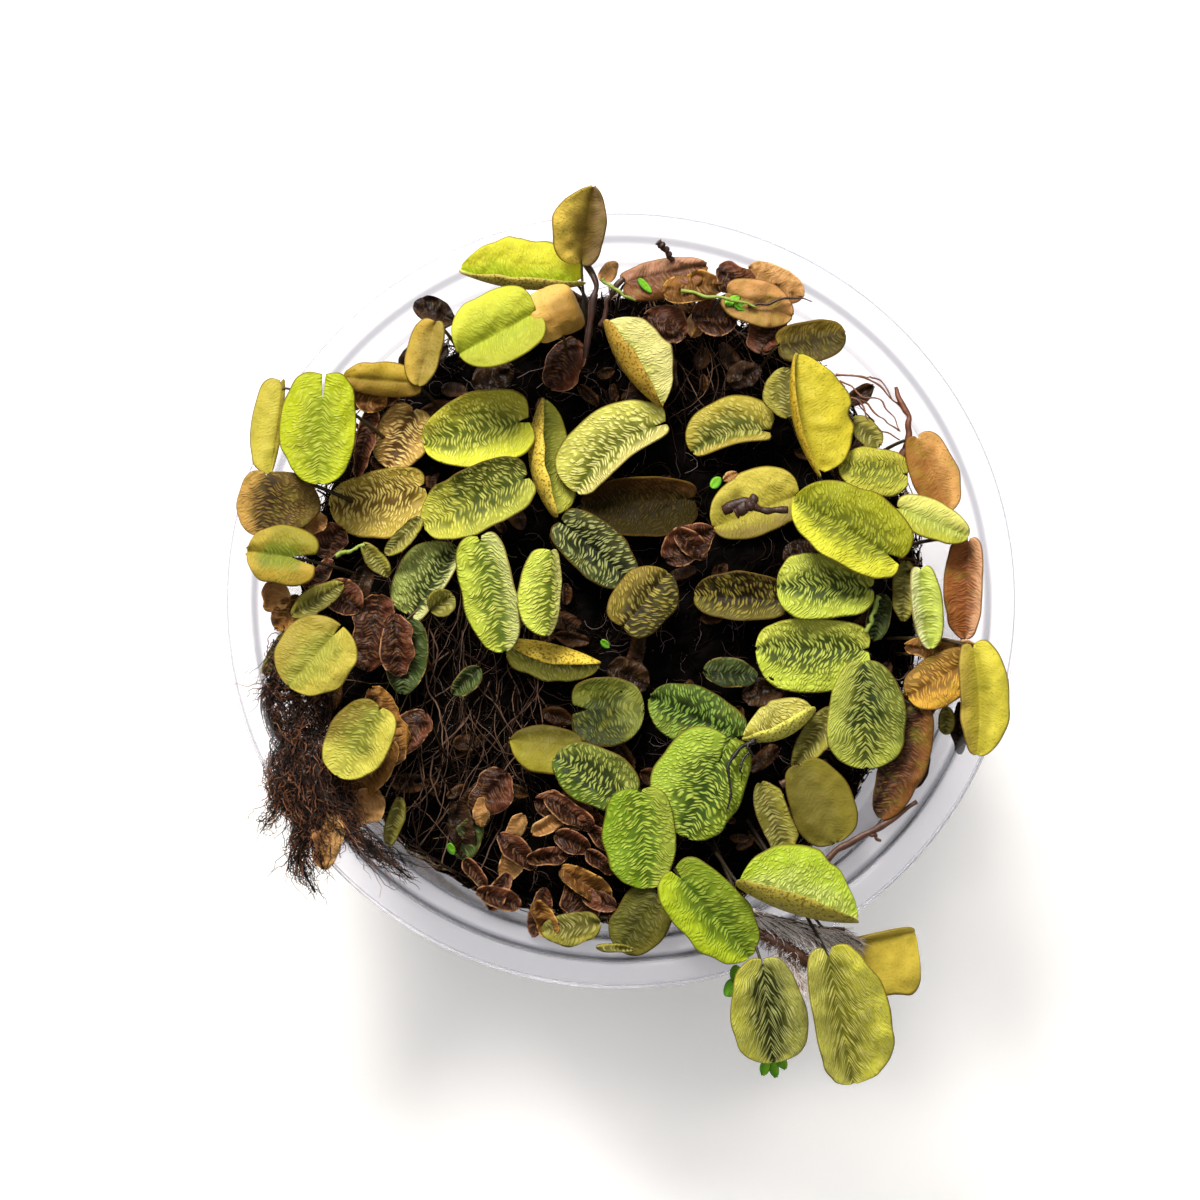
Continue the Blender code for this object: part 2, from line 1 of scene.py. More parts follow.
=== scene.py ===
import json
import math
import bpy
import numpy as np
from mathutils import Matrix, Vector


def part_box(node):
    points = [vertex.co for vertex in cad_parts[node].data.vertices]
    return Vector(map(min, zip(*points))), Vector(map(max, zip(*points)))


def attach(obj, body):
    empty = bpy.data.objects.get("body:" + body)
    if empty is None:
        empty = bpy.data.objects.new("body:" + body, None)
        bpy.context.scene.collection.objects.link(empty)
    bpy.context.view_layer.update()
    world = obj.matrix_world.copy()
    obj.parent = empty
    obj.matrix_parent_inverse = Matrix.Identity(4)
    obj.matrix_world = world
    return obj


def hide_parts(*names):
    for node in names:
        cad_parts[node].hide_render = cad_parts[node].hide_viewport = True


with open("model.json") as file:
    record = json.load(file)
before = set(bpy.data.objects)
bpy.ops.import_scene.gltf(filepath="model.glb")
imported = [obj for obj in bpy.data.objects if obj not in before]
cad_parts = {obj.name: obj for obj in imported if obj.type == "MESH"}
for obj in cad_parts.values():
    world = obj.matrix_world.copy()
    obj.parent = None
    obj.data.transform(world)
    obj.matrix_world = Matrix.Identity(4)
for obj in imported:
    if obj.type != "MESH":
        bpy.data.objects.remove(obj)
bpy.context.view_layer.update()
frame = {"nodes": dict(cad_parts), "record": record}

# Water spangles in their clear tub. Every shape is worked out in millimetres and goes into its mesh in metres.
mm = 0.001
rng = np.random.default_rng(41)
random = rng.random

# Where the tables are read: on the plane of the rim, along lines from the camera
sight = dict(distance=400.0, elevation=math.radians(78.5), focal=2720.0, imageSide=1200.0,
             aimPixel=(621.0, 587.0), rimLevel=45.0)
eyeBack = sight["distance"] * math.cos(sight["elevation"])
eyeUp = sight["rimLevel"] + sight["distance"] * math.sin(sight["elevation"])


def under(x, y, z):
    # seen point (x, y) on the rim plane, moved along its line of sight to height z
    share = (eyeUp - z) / (eyeUp - sight["rimLevel"])
    return x * share, (y + eyeBack) * share - eyeBack


def smooth(low, high, x):
    # 0 below low, 1 above high, and 3t squared minus 2t cubed between
    t = np.clip((x - low) / (high - low), 0, 1)
    return t * t * (3 - 2 * t)


def hashed(i, j, seed):
    # a number from 0 to 1 that belongs to cell i, j: the far digits of a sine
    h = np.sin(i * 127.1 + j * 311.7 + seed * 74.7) * 43758.5453
    return h - np.floor(h)


def patches(x, y, seed=0):
    # value noise from 0 to 1: hashed corners of a unit grid, blended smoothly inside each cell
    xi, yi = np.floor(x), np.floor(y)
    fx, fy = x - xi, y - yi
    fx, fy = fx * fx * (3 - 2 * fx), fy * fy * (3 - 2 * fy)
    low = hashed(xi, yi, seed) * (1 - fx) + hashed(xi + 1, yi, seed) * fx
    high = hashed(xi, yi + 1, seed) * (1 - fx) + hashed(xi + 1, yi + 1, seed) * fx
    return low * (1 - fy) + high * fy


def matTop(x, y):
    # top of the root mass, as the CAD solid has it: a low dome with slow bumps
    wave = np.sin(x * 0.31 + 1.3) * np.sin(y * 0.27 - 0.4) + 0.6 * np.sin(x * 0.17 - y * 0.24)
    return 38.5 + 1.1 * wave - 0.0006 * (x * x + y * y)


def matEdge(angle):
    # outline of the root mass, drawn in on the right
    return 47.2 - 3.4 * np.maximum(0, np.cos(angle + 0.2)) ** 2 + 0.5 * np.sin(5 * angle + 1)


def meshPiece(name, shell, material, slot, *nodes):
    # shell: points n by 3 in mm, a list of index arrays with one array for each face size, and point attributes.
    # The piece rides on the root body when a slot is given, though the slot's name is not kept, and the named
    # CAD nodes are hidden, as the piece stands for them
    points, faces, attributes = shell
    mesh = bpy.data.meshes.new(name)
    sizes = np.concatenate([np.full(len(f), f.shape[1]) for f in faces])
    corners = np.concatenate([f.ravel() for f in faces]).astype(np.int32)
    mesh.vertices.add(len(points))
    mesh.vertices.foreach_set("co", (np.asarray(points) * mm).astype(np.float32).ravel())
    mesh.loops.add(len(corners))
    mesh.loops.foreach_set("vertex_index", corners)
    mesh.polygons.add(len(sizes))
    mesh.polygons.foreach_set("loop_start", (np.cumsum(sizes) - sizes).astype(np.int32))
    mesh.update(calc_edges=True)
    mesh.validate()
    mesh.shade_smooth()
    for label, values in attributes.items():
        layer = mesh.attributes.new(label, "FLOAT", "POINT")
        layer.data.foreach_set("value", np.asarray(values, np.float32).ravel())
    mesh.materials.append(material)
    piece = bpy.data.objects.new(name, mesh)
    bpy.context.scene.collection.objects.link(piece)
    if slot:
        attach(piece, "root")
    if nodes:
        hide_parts(*nodes)
    return piece


def joined(shells):
    # several shells as one: points end to end, face indices moved along, attributes end to end
    starts = np.cumsum([0] + [len(shell[0]) for shell in shells[:-1]])
    points = np.concatenate([shell[0] for shell in shells])
    faces = [f + start for shell, start in zip(shells, starts) for f in shell[1]]
    labels = shells[0][2]
    return points, faces, {label: np.concatenate([shell[2][label] for shell in shells]) for label in labels}


def gridFaces(rows, columns, first=0):
    # quads of a rows by columns grid of points
    i, j = np.meshgrid(np.arange(rows - 1), np.arange(columns - 1), indexing="ij")
    a = first + i * columns + j
    return np.stack((a, a + columns, a + columns + 1, a + 1), axis=-1).reshape(-1, 4)


def turnedShell(rings, topLevel, footLevel):
    # rings by spokes points that run from the middle of the top outwards and round to the middle of the foot;
    # both middles are closed with a point each
    count, spokes = rings.shape[:2]
    points = np.concatenate((rings.reshape(-1, 3), [[0, 0, topLevel], [0, 0, footLevel]]))
    i, j = np.meshgrid(np.arange(count - 1), np.arange(spokes), indexing="ij")
    after = (j + 1) % spokes
    quads = np.stack((i * spokes + j, (i + 1) * spokes + j, (i + 1) * spokes + after, i * spokes + after), -1)
    j = np.arange(spokes)
    last = (count - 1) * spokes
    top = np.stack((np.full(spokes, len(points) - 2), j, (j + 1) % spokes), axis=-1)
    foot = np.stack((np.full(spokes, len(points) - 1), last + (j + 1) % spokes, last + j), axis=-1)
    return points, [quads.reshape(-1, 4), top, foot], {}


def tubes(paths, radii, sides, tone):
    # a round profile carried along each path: paths k by n by 3, radii k by n, tone k. Both ends are closed
    k, n = paths.shape[:2]
    ahead = np.gradient(paths, axis=1)
    ahead /= np.linalg.norm(ahead, axis=2, keepdims=True) + 1e-9
    up = np.where(np.abs(ahead[..., 2:3]) > 0.9, [1.0, 0.0, 0.0], [0.0, 0.0, 1.0])
    aside = np.cross(ahead, up)
    aside /= np.linalg.norm(aside, axis=2, keepdims=True) + 1e-9
    third = np.cross(ahead, aside)
    turn = np.arange(sides) * 2 * math.pi / sides
    ring = np.cos(turn)[:, None] * aside[:, :, None, :] + np.sin(turn)[:, None] * third[:, :, None, :]
    points = paths[:, :, None, :] + ring * radii[:, :, None, None]
    b, i, j = np.meshgrid(np.arange(k), np.arange(n - 1), np.arange(sides), indexing="ij")
    first = (b * n + i) * sides
    after = (j + 1) % sides
    walls = np.stack((first + j, first + after, first + sides + after, first + sides + j), axis=-1)
    ends = np.arange(k)[:, None] * n * sides + np.arange(sides)[None, :]
    faces = [walls.reshape(-1, 4), ends[:, ::-1], ends + (n - 1) * sides]
    return points.reshape(-1, 3), faces, dict(tone=np.repeat(np.broadcast_to(tone, k), n * sides))


def alongRoute(route, count, rounds=10):
    # count points evenly along the corners, then eased by rounds of neighbour averages
    route = np.array(route, float)
    gone = np.concatenate(([0], np.cumsum(np.linalg.norm(np.diff(route, axis=0), axis=1))))
    steps = np.linspace(0, gone[-1], count)
    path = np.stack([np.interp(steps, gone, route[:, k]) for k in range(3)], axis=-1)
    for _ in range(rounds):
        path[1:-1] = (path[:-2] + 2 * path[1:-1] + path[2:]) / 4
    return path


# Materials

def linear(hexColour):
    # sRGB hex to linear RGBA
    s = np.array([int(hexColour[i:i + 2], 16) for i in (0, 2, 4)]) / 255
    c = np.where(s <= 0.04045, s / 12.92, ((s + 0.055) / 1.055) ** 2.4)
    return (*(float(v) for v in c), 1.0)


def addNode(material, kind, settings=None, links=None):
    # one node, its settings and inputs: an input takes a value, or a (node, output) pair to link
    node = material.node_tree.nodes.new("ShaderNode" + kind)
    for key, value in (settings or {}).items():
        setattr(node, key, value)
    for key, value in (links or {}).items():
        if isinstance(value, tuple) and isinstance(value[0], bpy.types.Node):
            material.node_tree.links.new(value[0].outputs[value[1]], node.inputs[key])
        else:
            node.inputs[key].default_value = value
    return node


def startMaterial(name, blotchSize, grainSize):
    # an empty material and two noises on Object coordinates, whose soft spots have about these sizes in mm
    material = bpy.data.materials.new(name)
    material.use_nodes = True
    material.node_tree.nodes.clear()
    where = addNode(material, "TexCoord")
    noises = []
    for size in (blotchSize, grainSize):
        scale = 1 / (size * mm)
        noise = addNode(material, "TexNoise", {}, {"Vector": (where, "Object"), "Scale": scale, "Detail": 3.0,
                                                   "Roughness": 0.6})
        noises.append((noise, 0))
    return material, *noises


def paintLayers(material, ground, layers):
    # colour layers over a ground colour. Each has what it follows, the values where it begins and is full, how
    # strong it gets and its hue. Where the values run downwards, the layer comes in as its source falls
    colour = ground
    for source, begin, full, strength, hue in layers:
        share = addNode(material, "MapRange", dict(interpolation_type="SMOOTHSTEP"),
                        {0: source, 1: begin, 2: full, 3: 0.0, 4: strength})
        colour = addNode(material, "Mix", dict(data_type="RGBA"), {0: (share, 0), 6: colour, 7: linear(hue)}), 2
    return colour


def dressSurface(material, colour, gloss, roughness, height, depth, constants=None):
    # one Principled shader: roughness runs between two values with the gloss noise, and the bump is depth mm
    rough = addNode(material, "MapRange", {}, {0: gloss, 1: 0.3, 2: 0.7, 3: roughness[0], 4: roughness[1]})
    bump = addNode(material, "Bump", {}, {"Height": height, "Distance": depth * mm, "Strength": 1.0})
    shader = addNode(material, "BsdfPrincipled", {}, {"Base Color": colour, "Roughness": (rough, 0),
                                                      "Normal": (bump, 0), **(constants or {})})
    addNode(material, "OutputMaterial", {}, {"Surface": (shader, 0)})
    return material


# Leaves

leafMarks = ("leftSide", "heart", "tipward", "rows", "places", "tuftShare", "furrowShare", "edge", "back")


def leafMaterial(name, look):
    # Leaf of a floating fern: soft waxy skin, alive or dead. Wavy rows of pale hair tufts stand over furrows darkened
    # with painted shade near the midrib, and melt into a plain margin with a thin brown line that is partly painted
    # shadow. The halves' hues carry painted light and shade, and the heart is painted shade. The back is finely
    # speckled
    material, blotch, grain = startMaterial(name, 2.4, 0.4)
    follow = {label: (addNode(material, "Attribute", dict(attribute_name=label)), 2) for label in leafMarks}
    where = addNode(material, "CombineXYZ", {}, {0: follow["rows"], 1: follow["places"]})
    cells = addNode(material, "TexVoronoi", dict(voronoi_dimensions="2D"),
                    {"Vector": (where, 0), "Scale": 1.0, "Randomness": 0.85})
    crest = addNode(material, "MapRange", dict(interpolation_type="SMOOTHSTEP"), {0: (cells, 0), 1: 0.52, 2: 0.20})
    shadeGap = addNode(material, "MapRange", dict(interpolation_type="SMOOTHSTEP"), {0: (cells, 0), 1: 0.28, 2: 0.56})
    vary = addNode(material, "Math", dict(operation="MULTIPLY_ADD"), {0: (cells, 1), 1: 1.1, 2: 0.4})
    tuft = addNode(material, "Math", dict(operation="MULTIPLY"), {0: (crest, 0), 1: (vary, 0)}), 0
    tuft = addNode(material, "Math", dict(operation="MULTIPLY"), {0: tuft, 1: follow["tuftShare"]}), 0
    furrowShade = addNode(material, "Math", dict(operation="MULTIPLY"), {0: (shadeGap, 0), 1: follow["furrowShare"]}), 0
    relief = addNode(material, "Math", dict(operation="MULTIPLY_ADD"), {0: grain, 1: 0.4, 2: tuft}), 0
    backGrain = addNode(material, "Math", dict(operation="MULTIPLY"), {0: grain, 1: follow["back"]}), 0
    leftHalfHueAndShade, rightHalfHueAndShade, heartShadeHue = look["hues"]
    speckle = look.get("speckle", 0.0)
    # the right half's hue is the ground and the left half's hue comes in over it: both are the leaf's colour with
    # painted light and shade
    colour = paintLayers(material, linear(rightHalfHueAndShade), [
        (follow["leftSide"], 0.0, 1.0, 1.0, leftHalfHueAndShade),
        # painted shade: the heart hue darkens the leaf towards its midrib
        (follow["heart"], 0.0, 1.0, 0.85, heartShadeHue),
        (follow["tipward"], 0.0, 1.0, 0.8 if "tipHue" in look else 0.0, look.get("tipHue", leftHalfHueAndShade)),
        (blotch, 0.50, 0.75, 0.35, look.get("stain", "8E8A28")),
        # painted shade in the furrows between the tufts, strongest near the midrib
        (furrowShade, 0.0, 1.0, 0.85, look.get("shadeGap", "424A10")),
        (tuft, 0.0, 1.0, 0.6, look.get("crest", "DEDC70")),
        (grain, 0.56, 0.70, 0.22 + 0.5 * speckle, look.get("speckHue", "6E5A1E")),
        # the margin line: the edge's own colour, and where it is dark brown also painted shadow along the margin
        (follow["edge"], 0.0, 1.0, 0.85, look.get("line", "5E4216")),
        (follow["back"], 0.3, 0.7, 1.0, look.get("under", "8A7A28")),
        (backGrain, 0.50, 0.60, 0.7, "4E3414"),
    ])
    wet = look.get("gloss", 0.0)
    return dressSurface(material, colour, blotch, (0.40 - 0.22 * wet, 0.62 - 0.25 * wet), relief, 0.2,
                        {"Specular IOR Level": look.get("sheen", 0.12)})


# Leaves, from the lowest to the highest. base and tip are the ends of the midrib as seen on the rim plane. left
# and right, looking from base to tip, say how far the margin goes out, how far it rises and how it bellies. z
# lifts base and tip, bow bends the midrib sideways, arch upwards, notch and slit cut the base, and skew moves
# the widest place to the tip. hues: left half, right half, heart. The half hues are partly the leaf's own colour
# and partly painted light and shade, set by the way each half faces the lamp. The heart hue is painted shade in
# the fold along the midrib. gap: painted shade in the furrows between the tufts. ribs: how strongly the rows show.
leaves = {
    "72": dict(base=(23.6, 37.0), tip=(33.7, 38.8), left=(2.9, 1.0, 0.4), right=(3.4, 1.0, 0.4),
               z=(0, 0), notch=0.02,
               hues=("766020", "4A3E18", "3A300E"), ribs=0.5, crest="8E8038", shadeGap="160F04"),
    "71": dict(base=(15.8, 45.2), tip=(25.6, 41.4), left=(3.8, 0.3, -0.6), right=(3.4, 0, -0.3),
               z=(0.5, 0), notch=0.02,
               hues=("BC8850", "A07A40", "8E6836"), ribs=0.1, crumple=0.3, speckle=0.6),
    "70": dict(base=(0.3, 46.8), tip=(13.0, 49.5), left=(2.5, 0.5, -0.3), right=(4.0, 0, -0.6),
               z=(1, 1), notch=0.02,
               hues=("B88468", "7C4C2C", "6A4430"), ribs=0.4, crest="B4855A", shadeGap="1A0B06", crumple=0.35, gloss=0.8),
    "08": dict(base=(-50.6, 31.4), tip=(-52.0, 17.0), left=(0.9, -1.0, 0), right=(4.0, -1.2, -0.8),
               z=(1, 0.5), hues=("A68E3C", "B8AA40", "B8AC3E"), ribs=0.1, speckle=0.3),
    "13": dict(base=(-52.6, 17.4), tip=(-53.0, 7.6), left=(8.0, -1.6, -0.4), right=(4.0, -0.8, -0.5),
               z=(1, -0.5), notch=0.05, point=0.8,
               hues=("5E4A22", "B88E48", "3E2C14"), ribs=0.6, crest="A8873E", shadeGap="1E1307", speckle=0.4),
    "06": dict(base=(-30.0, 31.0), tip=(-41.5, 32.0), left=(2.6, -1.0, -0.5), right=(3.0, 0.5, -0.5),
               z=(-1, 0), notch=0.08, hues=("90702A", "B0922C", "8E7426"), ribs=0.0, speckle=1.0),
    "05": dict(base=(-27.8, 40.7), tip=(-30.3, 30.6), left=(2.0, 1.0, 0), right=(3.4, -0.5, -0.6),
               z=(1, 0), notch=0.05, hues=("988438", "B8983E", "96803A"), ribs=0.0, speckle=1.0),
    "09": dict(base=(-30.8, 27.2), tip=(-34.6, 18.0), left=(4.1, 0.8, 0.2), right=(4.2, 0.6, 0),
               lift=0.8, z=(0, -1), hues=("C8A052", "A87C3A", "8E6430"), ribs=0.9, crest="F0D586", shadeGap="2E1907"),
    # 31 lies in shade: its very dark hues are largely painted shade
    "31": dict(base=(10.9, 13.3), tip=(-6.0, 12.5), left=(5.2, 2.0, 0.3), right=(3.6, 2.0, 0.3),
               z=(-1, -2), hues=("2A2208", "3C240E", "1E1606"), ribs=0.5, crest="50461A", stain="2E240C", sheen=0.04, shadeGap="241808"),
    "34": dict(base=(24.0, -2.0), tip=(10.7, -1.3), left=(3.2, 2.0, 0.3), right=(3.9, 2.0, 0.2),
               z=(0, -1), hues=("5E5626", "2C1E0A", "241A08"), ribs=0.8, crest="A8973E", shadeGap="120B04"),
    "41": dict(base=(42.5, 17.0), tip=(32.3, 18.6), left=(4.0, 0, 0), right=(3.5, 0, -0.3),
               z=(2, 2), hues=("BEBA44", "B8B03E", "98983A"), ribs=0.85, crest="C4C448", shadeGap="5A661D"),
    "43": dict(base=(44.0, 22.9), tip=(48.4, 11.2), left=(4.0, -0.5, -0.6), right=(3.2, 0, -0.3),
               z=(1, 0), notch=0.04,
               hues=("D09A58", "925E26", "A06A34"), ribs=0.15, speckle=1.0, under="5A3218"),
    "62": dict(base=(5.3, -44.7), tip=(-0.1, -53.2), left=(4.2, 0, -0.2), right=(3.9, 0, -0.2),
               z=(0, -1), notch=0.04,
               hues=("645E20", "565418", "444414"), ribs=0.5, crest="8A8541", shadeGap="1A1D09"),
    "61": dict(base=(26.0, -26.3), tip=(31.0, -37.8), left=(5.4, -0.3, -0.3), right=(4.2, -0.3, -0.3),
               z=(1, -1), notch=0.03, skew=0.35, point=0.9, hues=("807428", "685E20", "72682A"), ribs=0.05, speckle=0.4),
    "64": dict(base=(43.8, -18.3), tip=(37.4, -34.2), left=(2.9, 0, -0.3), right=(3.6, 0.3, 0.3),
               z=(1, -0.5), bow=0.8, notch=0.03,
               hues=("7A4C24", "20100A", "42200E"), ribs=0.4, crest="B87C46", shadeGap="140904", speckle=0.5),
    "29": dict(base=(-9.8, 10.8), tip=(-11.4, 28.7), left=(-2.2, 4.2, 0.5), right=(6.2, 0, 0),
               z=(0, 0), bow=2.8, notch=0.05,
               hues=("D8D080", "A8A83A", "7E8A2A"), ribs=0.6, under="ECCC50"),
    "12": dict(base=(-29.2, 15.3), tip=(-43.2, 12.2), left=(6.3, 1.5, 0.8), right=(3.7, 1.6, 0.3),
               lift=1.0, z=(1, 0), notch=0.05,
               hues=("B89E40", "B09638", "967A2C"), ribs=0.95, crest="EBD67F", shadeGap="462E0B"),
    "17": dict(base=(-40.9, -5.8), tip=(-48.6, -14.8), left=(5.9, -0.3, -0.5), right=(6.0, -0.3, -0.5),
               z=(3, 2), notch=0.16, slit=0.03, lobe=0.02, root=0.95, point=1.0,
               hues=("BCAC44", "A08E38", "9A9A3A"), ribs=0.35, shadeGap="5A6118", speckle=0.3),
    "44": dict(base=(51.3, 7.3), tip=(50.4, -7.8), left=(2.3, 1.5, 0.2), right=(3.3, 0, 0.4),
               z=(1, 0), notch=0.03,
               hues=("D09C74", "8E5428", "7A4420"), ribs=0.5, crest="AE6630", shadeGap="2A1107"),
    "49": dict(base=(51.0, -11.0), tip=(41.8, -16.4), left=(4.1, 0, -0.3), right=(3.7, -0.4, -0.3),
               z=(3, 2), notch=0.04, point=0.8,
               hues=("D8A23A", "7C5A20", "946A26"), ribs=0.65, crest="EAB454", shadeGap="4A260A", speckle=0.4),
    "67": dict(base=(31.2, -52.6), tip=(42.2, -50.4), left=(0.8, 1.5, 0), right=(8.8, -0.8, -0.6),
               z=(0, -3), notch=0.02, skew=0.7, point=0.9, hues=("D8C458", "C8B040", "B8A038"), ribs=0.05),
    "25": dict(base=(-30.7, -4.4), tip=(-24.2, 6.2), left=(5.8, 1.0, -0.5), right=(1.6, 2.5, 0.3),
               z=(0, 1), notch=0.08,
               hues=("A0AC50", "D8D890", "4A5A1C"), ribs=1.0, crest="C4C87F", shadeGap="101B06"),
    "28": dict(base=(-16.5, -8.1), tip=(-3.0, -11.6), left=(-2.4, 3.6, 0.8), right=(5.2, 0.5, -0.4),
               z=(1, 1), bow=0.9,
               hues=("E8CC50", "C8C24A", "5E6420"), ribs=0.95, crest="DAD78C", shadeGap="142007", under="F0CE4C"),
    "32": dict(base=(-9.0, 10.0), tip=(1.8, 0.6), left=(4.3, 0.5, -0.5), right=(3.9, 1.0, 0),
               z=(0, 0), notch=0.1,
               hues=("3E3E18", "3A4218", "20280C"), ribs=1.0, crest="BCC078", shadeGap="0A1104"),
    "56": dict(base=(-7.0, -18.2), tip=(3.4, -18.2), left=(4.8, 1.5, 0.6), right=(5.5, 1.5, 0.6),
               z=(0, 1), notch=0.2, slit=0.08,
               hues=("5E6420", "262E0C", "28340E"), ribs=0.6, crest="8E9044", shadeGap="141B07", tipHue="8A9040"),
    "57": dict(base=(-6.0, -23.8), tip=(-16.2, -22.7), left=(4.6, 1.0, -0.3), right=(2.8, 0, 0),
               z=(1, 1), point=1.3, hues=("8E8424", "544C10", "746A1C"), ribs=0.1, speckle=0.8),
    "53": dict(base=(17.3, -22.5), tip=(4.2, -16.4), left=(4.6, 0, -0.4), right=(4.6, 0.3, -0.5),
               z=(1, 1), notch=0.05,
               hues=("84983A", "4E6022", "3C5218"), ribs=0.95, crest="98BC50", shadeGap="101F06"),
    "55": dict(base=(1.3, -31.6), tip=(-9.6, -25.0), left=(3.9, 0.5, -0.5), right=(4.7, 1.5, 0.2),
               z=(2, 1), notch=0.04,
               hues=("546C18", "7A8234", "3A4E16"), ribs=1.0, crest="BEC462", shadeGap="0E1B06"),
    "33": dict(base=(0.2, -6.0), tip=(7.0, 2.2), left=(4.9, 0.5, -0.6), right=(4.5, 0, -0.5),
               z=(1, 1), notch=0.05,
               hues=("84702A", "383414", "34321A"), ribs=0.85, crest="BCA850", shadeGap="2A2009"),
    "10": dict(base=(-13.8, 25.4), tip=(-29.5, 21.8), left=(5.4, 1.8, 0.5), right=(5.8, 2.6, 0.6),
               z=(2, 1), notch=0.11, slit=0.04, skew=-0.25,
               hues=("D6D838", "B4AC36", "7A821E"), ribs=0.8, shadeGap="2E3E0C"),
    "14": dict(base=(-45.3, 4.0), tip=(-55.2, 5.4), left=(4.4, 0.2, -0.6), right=(4.8, 0.2, -0.8),
               z=(1.5, 0.5), notch=0.32, slit=0.14, lobe=0.12,
               hues=("A88C30", "90842A", "6A7A20"), ribs=0.25, tipHue="AE9434", speckle=0.6),
    "07": dict(base=(-44.4, 32.4), tip=(-44.8, 15.5), left=(5.4, -0.6, -0.6), right=(6.1, -0.3, -0.6),
               z=(3, 2), notch=0.22, slit=0.03,
               hues=("AEB81C", "ABB41A", "8E9C1A"), ribs=0.5, shadeGap="36450A"),
    "11": dict(base=(-13.8, 16.7), tip=(-29.2, 9.0), left=(4.4, 1.8, 0.4), right=(5.2, 2.0, 0.5),
               z=(1, 0), notch=0.05,
               hues=("A2A43C", "44480E", "5A6218"), ribs=0.75, shadeGap="26360A", tipHue="C4C040"),
    "02": dict(base=(-5.8, 47.0), tip=(-24.3, 49.0), left=(-1.3, 4.5, 0.8), right=(7.6, 1.0, -1.2),
               z=(2, 3), bow=1.6, hues=("DCD47A", "C8C430", "A4B828"), ribs=0.35, under="CCBA58"),
    "04": dict(base=(-8.6, 38.4), tip=(-11.8, 45.9), left=(4.0, -3.0, -1.9), right=(4.0, -3.0, -1.9),
               z=(5, 5), notch=0.02, arch=2.2, root=1.0, point=1.0,
               hues=("D0A450", "8A682E", "9C7432"), ribs=0.05, crumple=0.15, speckle=0.6, shadeGap="7A4F1F", tipHue="DDB460"),
    "03": dict(base=(-12.6, 42.2), tip=(-24.3, 35.6), left=(4.9, 1.2, 0), right=(6.8, -1.5, -2.0),
               z=(3, 3), hues=("A4A630", "B8BA34", "A4AE2A"), ribs=0.3),
    "01": dict(base=(-6.0, 49.7), tip=(-4.2, 62.0), left=(5.3, 1.5, -0.8), right=(2.8, 1.5, 0),
               z=(0, 7), point=1.3, notch=0.04,
               hues=("DCBC50", "866C48", "6A5420"), ribs=0.1, speckle=1.0, under="8A7A2A"),
    "26": dict(base=(-20.9, 7.6), tip=(-17.0, -9.7), left=(3.4, 2.5, 0.5), right=(4.7, -0.5, -0.5),
               z=(3, 2), notch=0.04,
               hues=("C4C878", "B8C43E", "74861E"), ribs=0.75, shadeGap="243E09", under="8A7A1E"),
    "27": dict(base=(-10.2, 5.5), tip=(-10.8, -7.3), left=(1.8, -1.5, 0), right=(4.8, 0.5, -0.4),
               z=(3, 2), notch=0.02, skew=0.2,
               hues=("D0CC74", "CCD850", "9EA634"), ribs=0.85, shadeGap="3A4F0B", under="B89C28"),
    "35": dict(base=(22.2, 23.6), tip=(10.6, 20.3), left=(1.6, 2.2, 0.3), right=(5.6, 0.3, -0.6),
               z=(2, 1), bow=-1.4, notch=0.1,
               hues=("A8943E", "A89834", "66702A"), ribs=0.75, crest="D6CD79", shadeGap="26320C"),
    "37": dict(base=(29.7, 17.2), tip=(26.6, 35.7), left=(-0.8, 3.2, 0.6), right=(8.4, -0.5, -1.2),
               z=(3, 4), bow=2.1, notch=0.03,
               hues=("DCCC78", "C8B830", "B4A62C"), ribs=0.15, speckle=0.7, under="B89A28"),
    "38": dict(base=(26.5, 14.0), tip=(13.6, 8.9), left=(3.8, 1.0, 0), right=(6.4, 0.5, -0.6),
               z=(1, 1), notch=0.05, hues=("7C6A28", "C0B044", "B0A238"), ribs=0.3, speckle=0.7),
    "30": dict(base=(6.7, 24.9), tip=(-6.6, 14.2), left=(2.4, 2.4, 0.3), right=(6.4, 0.5, -0.5),
               z=(3, 2), bow=-1.8, skew=0.45, notch=0.1, slit=0.03,
               hues=("C8BC6C", "CAC656", "94963A"), ribs=0.9, crest="F3EB9A", shadeGap="464F0B"),
    "39": dict(base=(-2.3, 40.6), tip=(6.2, 27.6), left=(7.8, 1.0, -0.8), right=(-2.6, 4.2, 0.8),
               z=(2, 1), bow=-1.6, notch=0.03,
               hues=("D8D080", "9C8430", "B4BC48"), ribs=0.6, crest="EEE898", under="B89438"),
    "42": dict(base=(40.8, 12.0), tip=(51.3, 7.5), left=(3.4, 0.5, -0.3), right=(2.4, 1.0, 0),
               z=(2, 3), notch=0.04,
               hues=("D0CC68", "A8A834", "A8B04A"), ribs=0.45, crest="DFDF8F", shadeGap="6A7A2A"),
    "48": dict(base=(44.1, 2.9), tip=(45.3, -9.3), left=(2.8, 0, -0.4), right=(1.8, 1.4, 0.2),
               z=(3, 2), notch=0.03, hues=("C4D058", "D8DA94", "A4B444"), ribs=0.5, crest="E6E698"),
    "46": dict(base=(36.2, -9.4), tip=(19.7, -9.2), left=(6.6, 0, -0.5), right=(4.7, 2.0, 0.3),
               z=(2, 1), notch=0.05, skew=0.2,
               hues=("C4D242", "C8CC4C", "566C1C"), ribs=0.95, crest="D0D666", shadeGap="142207"),
    "45": dict(base=(37.0, -0.2), tip=(22.9, 0.1), left=(4.8, 1.2, 0), right=(5.3, 1.0, -0.3),
               z=(2, 1), notch=0.05, skew=0.45, slit=0.06,
               hues=("BECA40", "C4CA4C", "5C7420"), ribs=0.95, crest="CCD468", shadeGap="142006"),
